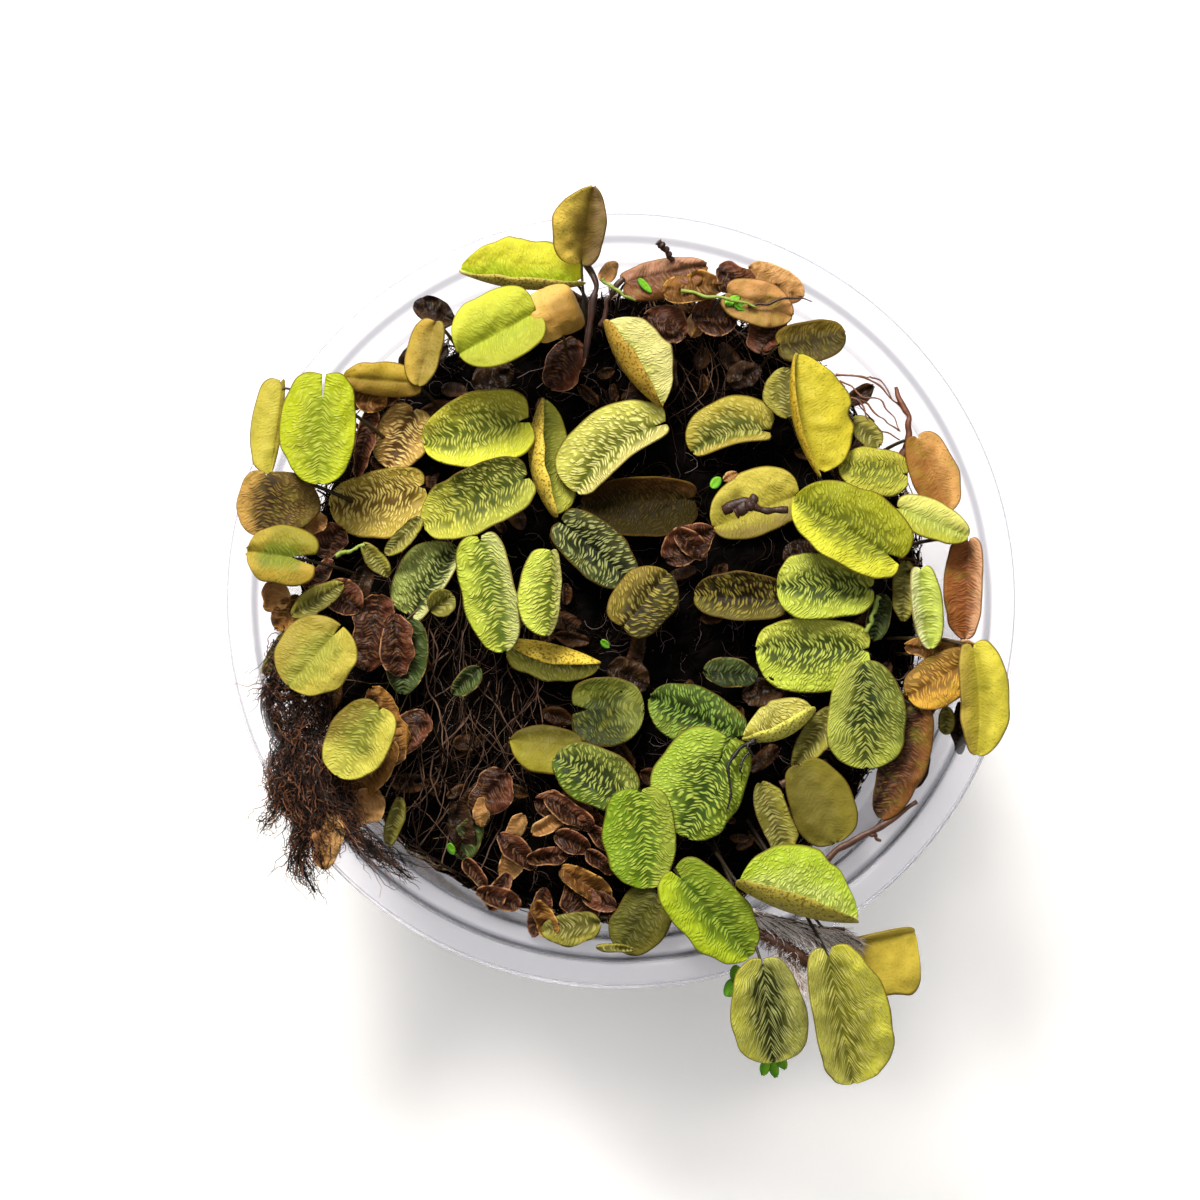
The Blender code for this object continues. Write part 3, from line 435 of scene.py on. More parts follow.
    "47": dict(base=(35.4, -11.2), tip=(35.6, -26.9), left=(6.2, 0.8, -0.3), right=(5.6, 0.8, -0.3),
               z=(3, 1), notch=0.03, skew=0.4, root=1.2,
               hues=("70782A", "B8BE4C", "48581C"), ribs=1.0, lean=1.0, crest="C0C468", shadeGap="101F07", tipHue="A8AE3C"),
    "40": dict(base=(41.1, 3.8), tip=(25.6, 13.4), left=(4.9, 0.8, 0.1), right=(7.0, 0.8, -0.6),
               z=(4, 4), notch=0.12, slit=0.06,
               hues=("D2D038", "98981C", "7E8220"), ribs=0.65, crest="C4CA48", shadeGap="2C3C0C"),
    "50": dict(base=(51.4, -8.6), tip=(51.6, -25.0), left=(4.4, 0.3, -0.8), right=(2.8, 1.6, 0),
               z=(2, 1), bow=0.8, notch=0.04,
               hues=("CEC03E", "B09A3E", "A0942C"), ribs=0.1, speckle=0.5, under="6A4E22"),
    "51": dict(base=(28.1, -18.1), tip=(17.6, -22.3), left=(-1.9, 3.2, 0.6), right=(5.6, 1.2, -0.3),
               z=(1, 0), bow=2.0,
               hues=("ECE870", "D0C860", "B4AC4A"), ribs=0.8, crest="F6E89C", shadeGap="6A5D18", under="E0DA60"),
    "54": dict(base=(15.8, -22.4), tip=(9.4, -37.0), left=(5.3, -0.5, -0.5), right=(8.2, -0.2, -0.8),
               z=(4, 3), notch=0.26, slit=0.02,
               hues=("76881C", "9CB436", "587022"), ribs=0.95, crest="C8D85E", shadeGap="1E3A09"),
    "58": dict(base=(2.8, -30.0), tip=(4.0, -44.3), left=(4.7, 0, -0.6), right=(6.0, 0.3, -0.6),
               z=(3, 2), notch=0.03,
               hues=("96A238", "7A981C", "74901E"), ribs=0.8, crest="C8D458", shadeGap="2E4B0C", under="8A7A2A"),
    "59": dict(base=(7.6, -41.6), tip=(18.5, -54.1), left=(5.2, 0.6, -0.4), right=(5.2, 0.2, -0.3),
               z=(3, 0), notch=0.10, slit=0.05,
               hues=("7E9222", "AABC1E", "5E7A1C"), ribs=0.6, crest="B8C84A", shadeGap="223609"),
    "60": dict(base=(16.8, -43.6), tip=(34.1, -48.8), left=(9.2, 1.0, -0.8), right=(-2.5, 3.6, 0.6),
               z=(3, 2), bow=-1.5, notch=0.03,
               hues=("AEC42E", "E4E084", "D8DC84"), ribs=0.75, crest="DCE47C", shadeGap="5E7A14", under="A89A3C"),
    "65": dict(base=(20.2, -54.4), tip=(21.6, -69.0), left=(5.6, 0.6, -0.5), right=(5.4, 0.8, -0.4),
               z=(1, -6), notch=0.08, slit=0.02, skew=0.5, root=0.95,
               hues=("C4C25A", "D4D04E", "4A5620"), ribs=0.95, lean=1.8, crest="DEDD8C", shadeGap="101906"),
    "66": dict(base=(29.5, -52.9), tip=(33.0, -72.0), left=(7.0, 1.8, -0.8), right=(3.8, 3.2, 0.6),
               z=(1, -8), notch=0.06, slit=0.06, skew=0.45,
               hues=("E0DA4C", "E4E064", "A8A43A"), ribs=0.75, lean=1.8, crest="EEE68D", shadeGap="3A410E", speckle=0.3),
    "19": dict(base=(-35.0, -17.9), tip=(-41.2, -28.0), left=(4.4, 0.3, 0.2), right=(5.0, 0.3, 0.2),
               z=(3, 2), notch=0.05, skew=0.15,
               hues=("C4B848", "7C6C24", "84862C"), ribs=0.5, shadeGap="3E4B11", tipHue="D0C850"),
}

leafForm = dict(thickness=0.42, rowStep=0.26, columnStep=0.30, tipRest=0.06, backRatio=2)
tuftForm = dict(rowSpacing=0.47, length=1.7, shorter=0.06, lean=0.45, waver=2.8, ripple=1.0)


def leafSurface(leaf, along, across, ragged=0.0):
    # rows of equal along run from the midrib out to an oval margin; the sine of the row's turn gives its reach,
    # and each half is a straight slope from out and up with a belly of 4w(1-w) square to it
    base = np.array(leaf["base"], float)
    chord = np.array(leaf["tip"], float) - base
    length = float(np.hypot(*chord))
    ahead = chord / length
    slit, notch = leaf.get("slit", 0.04), leaf.get("notch", 0.06)
    turn = slit + along * (math.pi - slit - leafForm["tipRest"])
    power = np.where(turn < math.pi / 2, leaf.get("root", 0.84), leaf.get("point", 0.93))
    reach = np.sin(turn) ** power
    edgeNoise = patches(along * length / (1.7 - ragged) + (across > 0) * 37, 0 * along, length) - 0.5
    reach = reach * (1 + (0.13 + 1.2 * ragged) * edgeNoise)
    margin = (1 - np.cos(turn)) / 2
    margin = margin + leaf.get("skew", 0) * margin * (1 - margin)
    margin = margin - leaf.get("lobe", 0.08) * np.maximum(0, np.sin(2 * turn))
    share = np.abs(across)
    u = notch + (0.99 - notch) * along
    u = u + (margin - u) * share**1.25
    w = reach * share
    out, up, belly = (np.where(across > 0, leaf["left"][k], leaf["right"][k]) for k in range(3))
    slope = np.hypot(out, up)
    hump = belly * 4 * w * (1 - w)
    sideways = (out * w + hump * up / slope) * np.where(across > 0, 1, -1)
    rise = up * w - hump * out / slope
    bow = leaf.get("bow", 0)
    bend, lean = bow * 4 * u * (1 - u), bow * 4 * (1 - 2 * u)
    headX, headY = ahead[0] * length - ahead[1] * lean, ahead[1] * length + ahead[0] * lean
    headLength = np.hypot(headX, headY)
    x = base[0] + ahead[0] * length * u - ahead[1] * bend - headY / headLength * sideways
    y = base[1] + ahead[1] * length * u + ahead[0] * bend + headX / headLength * sideways
    low, high = leaf["z"]
    z = low + (high - low) * u + leaf.get("arch", 0) * 4 * u * (1 - u) + rise
    return x, y, z, w * slope, u * length


def tuftPlaces(leaf, across, forward, fromMid, seed):
    # where a point lies among the tufts, counted in tufts. Rows run out from the midrib and lean to the tip, and
    # a slow and a quick noise bend them. Places count along a row, and come closer with the square of the way out
    side = seed + 10 * (across > 0)
    calm = smooth(0.0, 1.5, fromMid)
    waver = (patches(fromMid / 2.2 + side, forward / 2.4, side) - 0.5) * calm
    ripple = (patches(fromMid / 0.8 + side, forward / 0.9, side + 3) - 0.5) * calm
    lean = leaf.get("lean", tuftForm["lean"])
    rows = (forward - lean * fromMid) / tuftForm["rowSpacing"] + 13.7 * seed
    rows = rows + tuftForm["waver"] * waver + tuftForm["ripple"] * ripple
    return rows, np.sign(across) * (fromMid / tuftForm["length"] + tuftForm["shorter"] * fromMid**2)


def leafShell(leaf, level, seed, coarse=1.0, ragged=0.0):
    # a fine top grid and a coarser back grid, joined round the margin by five-sided faces
    ratio = leafForm["backRatio"]
    length = math.dist(leaf["base"], leaf["tip"])
    width = sum(math.hypot(*leaf[k][:2]) for k in ("left", "right"))
    longCount = ratio * max(4, round(length / leafForm["rowStep"] / ratio / coarse)) + 1
    halfColumns = ratio * max(2, round(width / leafForm["columnStep"] / ratio / 2 / coarse))
    columns = 2 * halfColumns + 1
    along, across = np.meshgrid(np.linspace(0, 1, longCount), np.linspace(-1, 1, columns), indexing="ij")
    x, y, z, fromMid, forward = leafSurface(leaf, along, across, ragged)
    crumple = leaf.get("crumple", 0.0)
    slow = (0.9 + 1.8 * crumple) * (patches(x / 3.1, y / 3.1, seed) - 0.5) * smooth(0.1, 0.8, np.abs(across))
    z = z + leaf.get("lift", 0) + slow + 0.35 * (patches(x / 1.3, y / 1.3, seed + 4) - 0.5)
    z = z + crumple * 1.5 * (0.5 - np.abs(2 * patches(x / 1.9, y / 1.9, seed + 5) - 1))
    z = z + crumple * 0.5 * (patches(x / 0.7, y / 0.7, seed + 6) - 0.5)
    px, py = under(x, y, z + level)
    smoothTop = np.stack((px, py, z + level), axis=-1)
    normal = np.cross(np.gradient(smoothTop, axis=0), np.gradient(smoothTop, axis=1))
    normal = normal / (np.linalg.norm(normal, axis=2, keepdims=True) + 1e-9)
    rows, places = tuftPlaces(leaf, across, forward, fromMid, seed)
    share = np.abs(across)
    top = smoothTop - 0.12 * normal * smooth(0.93, 1.0, share)[..., None]
    thickness = leaf.get("thickness", leafForm["thickness"]) * (1 - 0.45 * smooth(0.85, 1.0, share))
    bottom = (smoothTop - normal * thickness[..., None])[::ratio, ::ratio]
    backRows, backColumns = bottom.shape[:2]
    first, backCount = longCount * columns, backRows * backColumns

    def border(r, c, start):
        # indices once round the grid
        grid = start + np.arange(r * c).reshape(r, c)
        return np.concatenate((grid[:-1, 0], grid[-1, :-1], grid[:0:-1, -1], grid[0, :0:-1]))

    outer, inner = border(longCount, columns, 0), border(backRows, backColumns, first)
    steps = np.arange(len(inner))
    wall = [inner, np.roll(inner, -1)] + [outer[(steps * ratio + k) % len(outer)] for k in range(ratio, -1, -1)]
    faces = [gridFaces(longCount, columns), gridFaces(backRows, backColumns, first)[:, ::-1], np.stack(wall, axis=-1)]
    drift = 0.25 * (patches(x / 1.6, y / 1.6, seed + 8) - 0.5)
    strength = (0.06 + 0.94 * leaf["ribs"] ** 1.3) * (1 - smooth(0.93, 1.0, share))
    # The heart mark is painted shade, darker towards the midrib. The furrow share is painted shade between the tufts.
    # The edge mark is the margin line, dark brown on live leaves partly as painted shadow along the margin.
    marks = dict(leftSide=smooth(-0.12, 0.12, across + 0.2 * drift), heart=1 - smooth(0.05, 0.85, share + drift),
                 tipward=smooth(0.45, 0.85, along + drift), rows=rows, places=places,
                 tuftShare=strength * (1 - 0.35 * smooth(0.5, 0.95, share)),
                 furrowShare=strength * (1 - 0.65 * smooth(0.1, 0.8, share + drift)),
                 edge=smooth(0.945, 0.985, share), back=0 * share)
    attributes = {label: np.concatenate((values.ravel(), np.full(backCount, float(label == "back"))))
                  for label, values in marks.items()}
    return (np.concatenate((top.reshape(-1, 3), bottom.reshape(-1, 3))), faces, attributes), smoothTop


def cadLevel(leaf, node):
    # the level at which the CAD leaf was laid: its highest point over that of the same coarse grid at level 0
    along, across = np.meshgrid(np.linspace(0, 1, 6), np.linspace(-1, 1, 5), indexing="ij")
    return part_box(node)[1].z / mm - leafSurface(leaf, along, across)[2].max()


looseLevels = {"05": 46.4, "06": 46.6, "62": 45.8, "67": 46.6, "71": 45.6, "72": 45.8}
slotOf = {row["node"]: row["material_slot"] for row in frame["record"]["subparts"]}
leafTops = {}
for number, leaf in leaves.items():
    node = "leaf_" + number
    inFrame = node in frame["nodes"]
    level = cadLevel(leaf, node) if inFrame else looseLevels[number]
    shell, leafTops[number] = leafShell(leaf, level, int(number) * 1.37)
    meshPiece("leaf" + number, shell, leafMaterial("waxy skin of leaf " + number, leaf),
              slotOf.get(node, "leaf_olive"), *([node] if inFrame else []))
print("leaves made:", len(leafTops))

# Dead and small leaves, joined by finish. Each bit: base x, y, tip x, y as seen on the rim plane, half width, how
# far its margins curl up, and its level.
scraps = {
    "tanLitter": dict(
        slot="leaf_tan", crumple=0.6, ragged=0.28,
        look=dict(hues=("C09058", "94663A", "A0723E"), ribs=0.35, stain="6E4422", shadeGap="4A2A14", crest="DCB47C",
                  speckle=0.7, under="9A6A34", line="D8AC70", gloss=0.4),
        bits=[(-50, 7.5, -43.5, 10.5, 2.2, 0.5, 44), (-51.2, 1, -51, -3.8, 2.3, 0.5, 44.5),
              (-42.6, -32, -42.6, -41.6, 2.3, 0.3, 45.5), (-34.5, -30.6, -40.8, -35, 2.6, 0.4, 44),
              (10.6, 38.2, 12.1, 42.5, 1.4, -0.5, 42.5), (-20.2, -31, -20.3, -35.4, 1.3, -0.5, 42.5),
              (-15, -37.8, -16.8, -43.2, 1.7, 0.8, 42), (-12.9, -36.4, -7.4, -33.4, 1.3, 1.2, 43),
              (-14, -33.6, -16.4, -37.4, 1.5, 0.5, 42.4), (-2.9, 47, -0.6, 50, 1.5, -0.4, 46.2),
              (15.2, 16.2, 17.2, 17.3, 0.8, 0.3, 43), (19, 49, 27.5, 44.5, 2.6, -0.6, 45.2)]),
    "goldenLitter": dict(
        slot="leaf_tan", crumple=0.8, ragged=0.28,
        look=dict(hues=("8E602C", "5E3A1C", "6A4420"), ribs=0.45, stain="3E2412", shadeGap="2A160A", crest="C89A50",
                  speckle=0.6, under="7A5222", line="D0A050", gloss=0.5),
        bits=[(-33.2, -22.6, -39.8, -32, 3.3, 1.0, 43.6), (41.5, -8.8, 53, -9.8, 1.9, 0.6, 46),
              (51.2, -8.9, 51.4, -14.5, 1.6, 0.4, 46.5), (-8.8, -41.4, -1.4, -46, 2.2, 1.8, 43.4), (-36.6, -15, -31.6, -24.8, 2.7, -1.6, 44.4),
              (-12.4, -46, -9.6, -51.4, 1.7, 1.0, 44),
              (6.3, 45, 15.4, 46.6, 2.7, 0.6, 46.4), (-40, 30, -35, 27.4, 2.0, 0.8, 43.6),
              (-47, -1.5, -50.6, -6.4, 2.6, 0.8, 43.6), (-34.6, -27, -31.2, -21, 2.0, 0.8, 43.6),
              (33, -20.6, 37.4, -24.4, 1.8, 0.9, 43)]),
    "redBrownLitter": dict(
        slot="leaf_brown", crumple=0.55, ragged=0.28,
        look=dict(hues=("5A3020", "331A12", "26120D"), ribs=0.45, stain="24100A", shadeGap="140806", crest="A87450",
                  speckle=0.6, under="4A2A1A", line="B8845A", gloss=0.6),
        bits=[(-46.5, 0.2, -42.3, 3.9, 1.4, 0.5, 45), (21, 35.6, 21.9, 41.8, 2.7, -0.5, 44),
              (6.2, 4.2, 13.8, 8.8, 2.6, 1.0, 42.4), (8, 8.8, 12.4, 4.2, 1.6, 0.9, 43),
              (-16.6, -27.3, -21.4, -33.4, 3.1, 0.6, 41.6), (-12.5, -31.4, -2.6, -35, 2.4, 1.0, 42.6),
              (-6.6, 38, -10.6, 30.2, 3.2, 0.6, 43), (-35.6, -1.0, -37.4, -12.6, 3.6, -0.9, 43.4), (-33.4, -4, -32.4, -13.4, 2.6, 1.2, 43),
              (-11, -44, -12.6, -51.2, 1.7, -0.7, 43.4), (-37, 28, -39.2, 16.6, 1.6, 0.7, 42.4),
              (14.5, 49.2, 20.5, 45, 2.8, -0.5, 45.8), (-0.6, -47, -5.6, -45.4, 1.5, 0.8, 43.4), (-35.6, 27.6, -33, 32, 1.8, 0.8, 42.2),
              (-45, 5, -41, 8.8, 2.6, 1.0, 41.8), (-43.4, 0.4, -38.2, -3.6, 2.4, 0.8, 43.2),
              (-28.4, -18.6, -33, -24.6, 2.8, 0.8, 42.6), (-17.6, -36.4, -12.6, -41.4, 1.6, 1.6, 42.8),
              (-16.3, -42, -18.8, -47.4, 1.5, 1.4, 42.4), (-11, -30.8, -4, -35.6, 1.7, 1.5, 43.8),
              (-5, -38.8, -1, -42, 1.3, 1.2, 43), (-20.8, -44.6, -14.4, -46.8, 1.5, 1.2, 43.2),
              (-9.6, -36.4, -4.4, -38.8, 1.6, 1.4, 43.4), (-22.6, -40, -19.4, -44, 1.2, 1.0, 42.6),
              (-13.6, -40, -7.6, -39.4, 1.4, 1.4, 43.2), (-4.6, -35.4, -1.6, -38.6, 1.2, 1.0, 42.8),
              (-7.4, -43.2, -4.4, -49.6, 2.6, 1.0, 42.8), (-3.6, -33.4, -8.6, -30.2, 2.2, 0.8, 42.6),
              (3.4, 41.6, 9.8, 38.6, 3.0, 0.6, 44.2), (10.6, 41.8, 17.4, 40.8, 3.0, 0.6, 44),
              (24, 41.8, 20.4, 36.4, 2.6, 0.5, 43.6), (39.6, 20.6, 40.8, 14.4, 2.4, 0.6, 43.6),
              (45.4, -15.2, 41.2, -18.6, 2.6, 0.8, 44), (27.6, -20.6, 31.8, -23.8, 2.0, 0.8, 42.4)]),
    "darkWetLitter": dict(
        slot="leaf_brown", crumple=0.6, ragged=0.25,
        look=dict(hues=("3A2618", "22140C", "180D08"), ribs=0.3, stain="100806", shadeGap="080403", crest="6A4A34",
                  speckle=0.4, under="20120C", line="100906", gloss=0.7),
        bits=[(-25, 40.6, -31.2, 43.8, 2.2, 0.5, 43.4), (49.5, -17, 49.2, -24.8, 1.3, 0.6, 44),
              (-37, 3.5, -40, -2.8, 1.9, 0.9, 42.8), (-24, -31.6, -22.4, -39.8, 2.0, 0.6, 41),
              (-33, 33, -26, 37, 2.4, 0.6, 42), (3, 36, 8, 30, 2.6, 0.4, 41.6), (16, 31, 21, 33.5, 2.2, 0.4, 41.8),
              (-22, 30.5, -16, 33.6, 2.4, 0.5, 41.4), (30, 3.4, 24, 5.8, 2.4, 0.4, 41.4),
              (44, -24, 40, -31, 2.0, 0.7, 43.4), (-2, -12, 4, -14.6, 2.6, 0.5, 41.2),
              (24, -15, 17.6, -16.4, 2.2, 0.5, 41), (-36, 34, -40, 27, 1.8, 0.5, 42.6)]),
    "oliveSmallLeaves": dict(
        slot="leaf_olive", crumple=0.2, ragged=0.15,
        look=dict(hues=("9A9238", "74702C", "6A6426"), ribs=0.6, stain="6A5A20", shadeGap="2A2A0E", crest="C8C078",
                  speckle=0.5, under="7A6A24", line="5A4218"),
        bits=[(-48.4, -4.3, -40.8, 0.5, 1.9, 1.0, 45.4), (42, 4, 41.4, -5.2, 2.0, 0.4, 45.6),
              (20.2, -28.8, 24.2, -40, 2.7, 0.8, 43.6), (47.4, -17.8, 47.2, -22, 1.2, 0.4, 45),
              (-32, -31, -33.6, -38.2, 1.4, 0.5, 41), (-50.2, -18.4, -50.4, -22.2, 1.1, -0.2, 44),
              (-38.2, 6.6, -34.2, 1.5, 1.4, 1.0, 44.2), (-29.5, 10.4, -34.7, 4.8, 1.5, 1.2, 44.6),
              (34.4, 25.7, 38.6, 21.4, 2.0, 0.4, 45.8), (25, 25.6, 24.6, 33.6, 3.4, 0.6, 44.6),
              (31.6, -17.8, 25, -27, 2.4, 0.8, 43.8), (-2.9, -49.2, -11.4, -50.4, 2.6, 0.3, 45.2),
              (-28, -3.6, -24.6, -1.2, 2.2, 2.4, 45), (-46.3, -4.9, -52.3, -13, 1.9, 0.2, 44.2),
              (-3.6, -52.6, 2, -53, 0.7, 0.2, 45.8)]),
    "shadedGreenLeaves": dict(
        slot="leaf_deep_green", crumple=0.15, ragged=0.1,
        look=dict(hues=("3C4A1C", "24300F", "1E280E"), ribs=0.6, stain="2A2A10", shadeGap="0C1205", crest="7A8850",
                  speckle=0.3, under="3A3A18", line="8A7440"),
        bits=[(-30.8, -4.6, -31.9, -16, 3.1, 0.7, 42.4), (-21, -34, -23.4, -40, 2.3, 0.4, 40.8),
              (38.6, -1, 37, -8, 1.9, 0.8, 43), (12, -12.4, 20, -13.4, 2.2, 0.6, 41.4),
              (-20.6, -12, -24.6, -16, 1.8, 0.6, 42)]),
    "brightShoots": dict(
        slot="leaf_lime", crumple=0.1, ragged=0.1,
        look=dict(hues=("8ECB34", "5EA428", "78B82E"), ribs=0.1, stain="4E9020", shadeGap="2E5A14", crest="C8F080",
                  under="6AA030", line="4A8420"),
        bits=[(13.4, 15, 14.8, 16.6, 0.8, 0.3, 44), (-24.9, -37.8, -24.1, -39.4, 0.6, 0.2, 42),
              (16.4, -55.2, 16.2, -57.6, 0.9, 0.3, 45.6), (15.9, -57.2, 15.1, -59.7, 0.9, 0.3, 45),
              (20.8, -68.2, 20.1, -70.7, 0.8, 0.2, 40), (22.2, -67.7, 23.4, -69.8, 0.8, 0.2, 40.4),
              (21.4, -68.6, 22, -71, 0.7, 0.2, 39.8), (15.6, 43.3, 17.8, 44.6, 0.8, 0.3, 46.4),
              (17, 43.6, 19.4, 42.6, 0.8, 0.3, 46.2), (-2.9, -8, -1.7, -9.1, 0.6, 0.2, 44),
              (2.6, 47.4, 4.6, 45.2, 0.6, 0.2, 47)]),
}


def sunkenLitter(count):
    # dead bits strewn over the root mass between the leaves, at random places and turns. Their near-black hues are
    # their own dark colour darkened further as painted shade of the deep gaps
    r, a = 44 * np.sqrt(random(count)), random(count) * 2 * math.pi
    turn, size = random(count) * 2 * math.pi, 2.2 + 3.6 * random(count)
    x, y = r * np.cos(a), r * np.sin(a)
    rows = np.stack((x, y, x + size * np.cos(turn), y + size * np.sin(turn), 0.22 * size + 0.3 * random(count),
                     0.9 * random(count), 38.0 + 1.1 * random(count)), axis=-1)
    return rows.tolist()


# nearly black dead bits: painted shade at the bottom of the gaps between the leaves
scraps["sunkenLitter"] = dict(
    slot="leaf_brown", crumple=0.35, ragged=0.25, bits=sunkenLitter(110),
    look=dict(hues=("4E3018", "2E1A0E", "24140A"), ribs=0.3, stain="160C07", shadeGap="0A0503", crest="5A4028",
              speckle=0.5, under="2A180E", line="3A2616", gloss=0.5, sheen=0.12))


def makeScraps(name, scrap):
    shells = []
    for count, (bx, by, tx, ty, half, curl, level) in enumerate(scrap["bits"]):
        bit = dict(base=(bx, by), tip=(tx, ty), left=(half, curl, 0), right=(0.9 * half, 0.7 * curl, 0),
                   z=(0.3, -0.3), notch=0.02, slit=0.1, lobe=0, root=0.9, point=1.0, thickness=0.22,
                   ribs=scrap["look"]["ribs"], crumple=scrap["crumple"])
        shells.append(leafShell(bit, level, 3.1 + 2.3 * count, 0.9, scrap["ragged"])[0])
    meshPiece(name, joined(shells), leafMaterial("skin of " + name, scrap["look"]), scrap["slot"])


# Leaves of the mass that press against the wall: how many, length and half width in mm, hues and roughness of form
wallLitter = {
    "wallLitterBrown": dict(slot="leaf_brown", count=60, size=(5, 11), half=(1.6, 3.4), look=dict(
        hues=("7A5030", "4A2C1A", "5A381E"), ribs=0.4, stain="341C10", shadeGap="22120A", crest="A88458", speckle=0.6,
        under="5A3820", line="8A6238", gloss=0.3)),
    "wallLitterOlive": dict(slot="leaf_olive", count=28, size=(6, 12), half=(2.2, 4.2), look=dict(
        hues=("8A8238", "5E5A24", "4E4A1E"), ribs=0.6, stain="5A4A1E", shadeGap="2A2A0E", crest="AEA860", speckle=0.5,
        under="6A5A22", line="4A3418")),
}


def makeWallLitter(name, kind):
    # leaves laid out flat at rim level, then rolled round the root mass: x is the way round and y the height
    shells = []
    for count in range(kind["count"]):
        size = kind["size"][0] + (kind["size"][1] - kind["size"][0]) * random()
        half = kind["half"][0] + (kind["half"][1] - kind["half"][0]) * random()
        start, turn = np.array([290 * random(), 9 + 22 * random()]), 2 * math.pi * random()
        tip = start + 0.5 * size * np.array([math.cos(turn), math.sin(turn)])
        leaf = dict(base=tuple(2 * start - tip), tip=tuple(tip), left=(half, -0.3, 0), right=(0.9 * half, -0.5, 0),
                    z=(0, 0), notch=0.03, slit=0.08, lobe=0.04, thickness=0.22, ribs=kind["look"]["ribs"], crumple=0.35)
        points, faces, marks = leafShell(leaf, sight["rimLevel"], 5.1 + 1.7 * count, 1.2, 0.15)[0]
        angle, height = points[:, 0] / 46, np.clip(points[:, 1], 2.5, 37)
        radius = matEdge(angle) - 3.0 * (38 - height) / 36 + 1.9 + 0.5 * (points[:, 2] - sight["rimLevel"])
        rolled = np.stack((radius * np.cos(angle), radius * np.sin(angle), height), axis=-1)
        shells.append((rolled, faces, marks))
    meshPiece(name, joined(shells), leafMaterial("skin of " + name, kind["look"]), kind["slot"])


for name, scrap in scraps.items():
    makeScraps(name, scrap)
for name, kind in wallLitter.items():
    makeWallLitter(name, kind)
print("small and dead leaves made:", sum(len(scrap["bits"]) for scrap in scraps.values()))


# Roots

rootForm = dict(spokes=260, rings=120, sides=3, steps=9, hairs=3000, glints=1100, sideHairs=2500)


def rootMaterial(name, dark, pale, sheen=0.03, roughness=(0.7, 0.95)):
    # Water roots: fine wet hairs, nearly black, their own dark brown with painted shade of the deep mass, and thin
    # brown hairs and grey painted glints
    material, blotch, grain = startMaterial(name, 3.0, 0.5)
    tone = addNode(material, "Attribute", dict(attribute_name="tone")), 2
    colour = paintLayers(material, linear(dark), [(tone, 0.0, 1.0, 1.0, pale), (blotch, 0.45, 0.7, 0.6, "080504")])
    return dressSurface(material, colour, blotch, roughness, grain, 0.08, {"Specular IOR Level": sheen})


def makeRootBed():
    # the bed under the hairs: rings run out over the lumpy top, down a steep side and in over a flat foot
    s, a = np.meshgrid(np.linspace(0, 1, rootForm["rings"]), np.arange(rootForm["spokes"]) * 2 * math.pi
                       / rootForm["spokes"], indexing="ij")
    edge = matEdge(a)
    topShare, sideShare = 0.72, 0.9
    side = np.clip((s - topShare) / (sideShare - topShare), 0, 1)
    radius = np.where(s < topShare, edge * s / topShare, edge - 3.0 * side)
    radius = np.where(s > sideShare, (edge - 3.0) * (1 - s) / (1 - sideShare), radius)
    x, y = radius * np.cos(a), radius * np.sin(a)
    lumps = 1.6 * patches(x / 2.3, y / 2.3, 3) + 0.9 * patches(x / 0.9, y / 0.9, 4)
    top = matTop(x, y) - 2.0 + lumps - 2.0 * smooth(0.86, 1.0, s / topShare)
    z = top * (1 - side) + 1.4 * side
    bulge = (patches(a * 9, z / 4.0, 8) - 0.3) * 2.2 * smooth(0.0, 0.2, side) * (1 - smooth(0.8, 1.0, side))
    rings = np.stack((x + bulge * np.cos(a), y + bulge * np.sin(a), z), axis=-1)[1:-1]
    points, faces, _ = turnedShell(rings, float(rings[0, :, 2].mean()), 1.4)
    # the bed's near-black felt is partly painted shade under the leaves
    meshPiece("rootBed", (points, faces, dict(tone=np.zeros(len(points)))),
              rootMaterial("wet root felt and painted shade", "060403", "1A120C"), "roots", "root_mass")


def lyingHairs(count, spread, stepLength, curl, lift, radii, tones):
    # each hair turns by a little noise at each step and lies in a low arch over the root mass
    steps = rootForm["steps"]
    r, a = spread * np.sqrt(random(count)), random(count) * 2 * math.pi
    heading = random((count, 1)) * 2 * math.pi
    angle = heading + np.cumsum(rng.normal(0, curl, (count, steps)) + rng.normal(0, curl, (count, 1)), axis=1)
    x = (r * np.cos(a))[:, None] + np.cumsum(np.cos(angle), axis=1) * stepLength
    y = (r * np.sin(a))[:, None] + np.cumsum(np.sin(angle), axis=1) * stepLength
    overhang = 2.8 * random((count, 1)) ** 3
    inward = np.minimum(1, (matEdge(np.arctan2(y, x)) - 0.3 + overhang) / np.hypot(x, y))
    x, y = x * inward, y * inward
    arch = np.sin(math.pi * np.linspace(0, 1, steps)) ** 0.7 * lift * random((count, 1))
    z = matTop(x, y) - 0.9 + arch + 0.4 * random((count, 1)) - 2.0 * smooth(0.9, 1.0, 1 / (inward + 1e-9) - 0.05)
    thin = np.linspace(1, 0.5, steps)[None, :]
    width = radii[0] + (radii[1] - radii[0]) * random((count, 1))
    tone = tones[0] + (tones[1] - tones[0]) * random(count) ** 2
    return tubes(np.stack((x, y, z), axis=-1), width * thin, rootForm["sides"], tone)


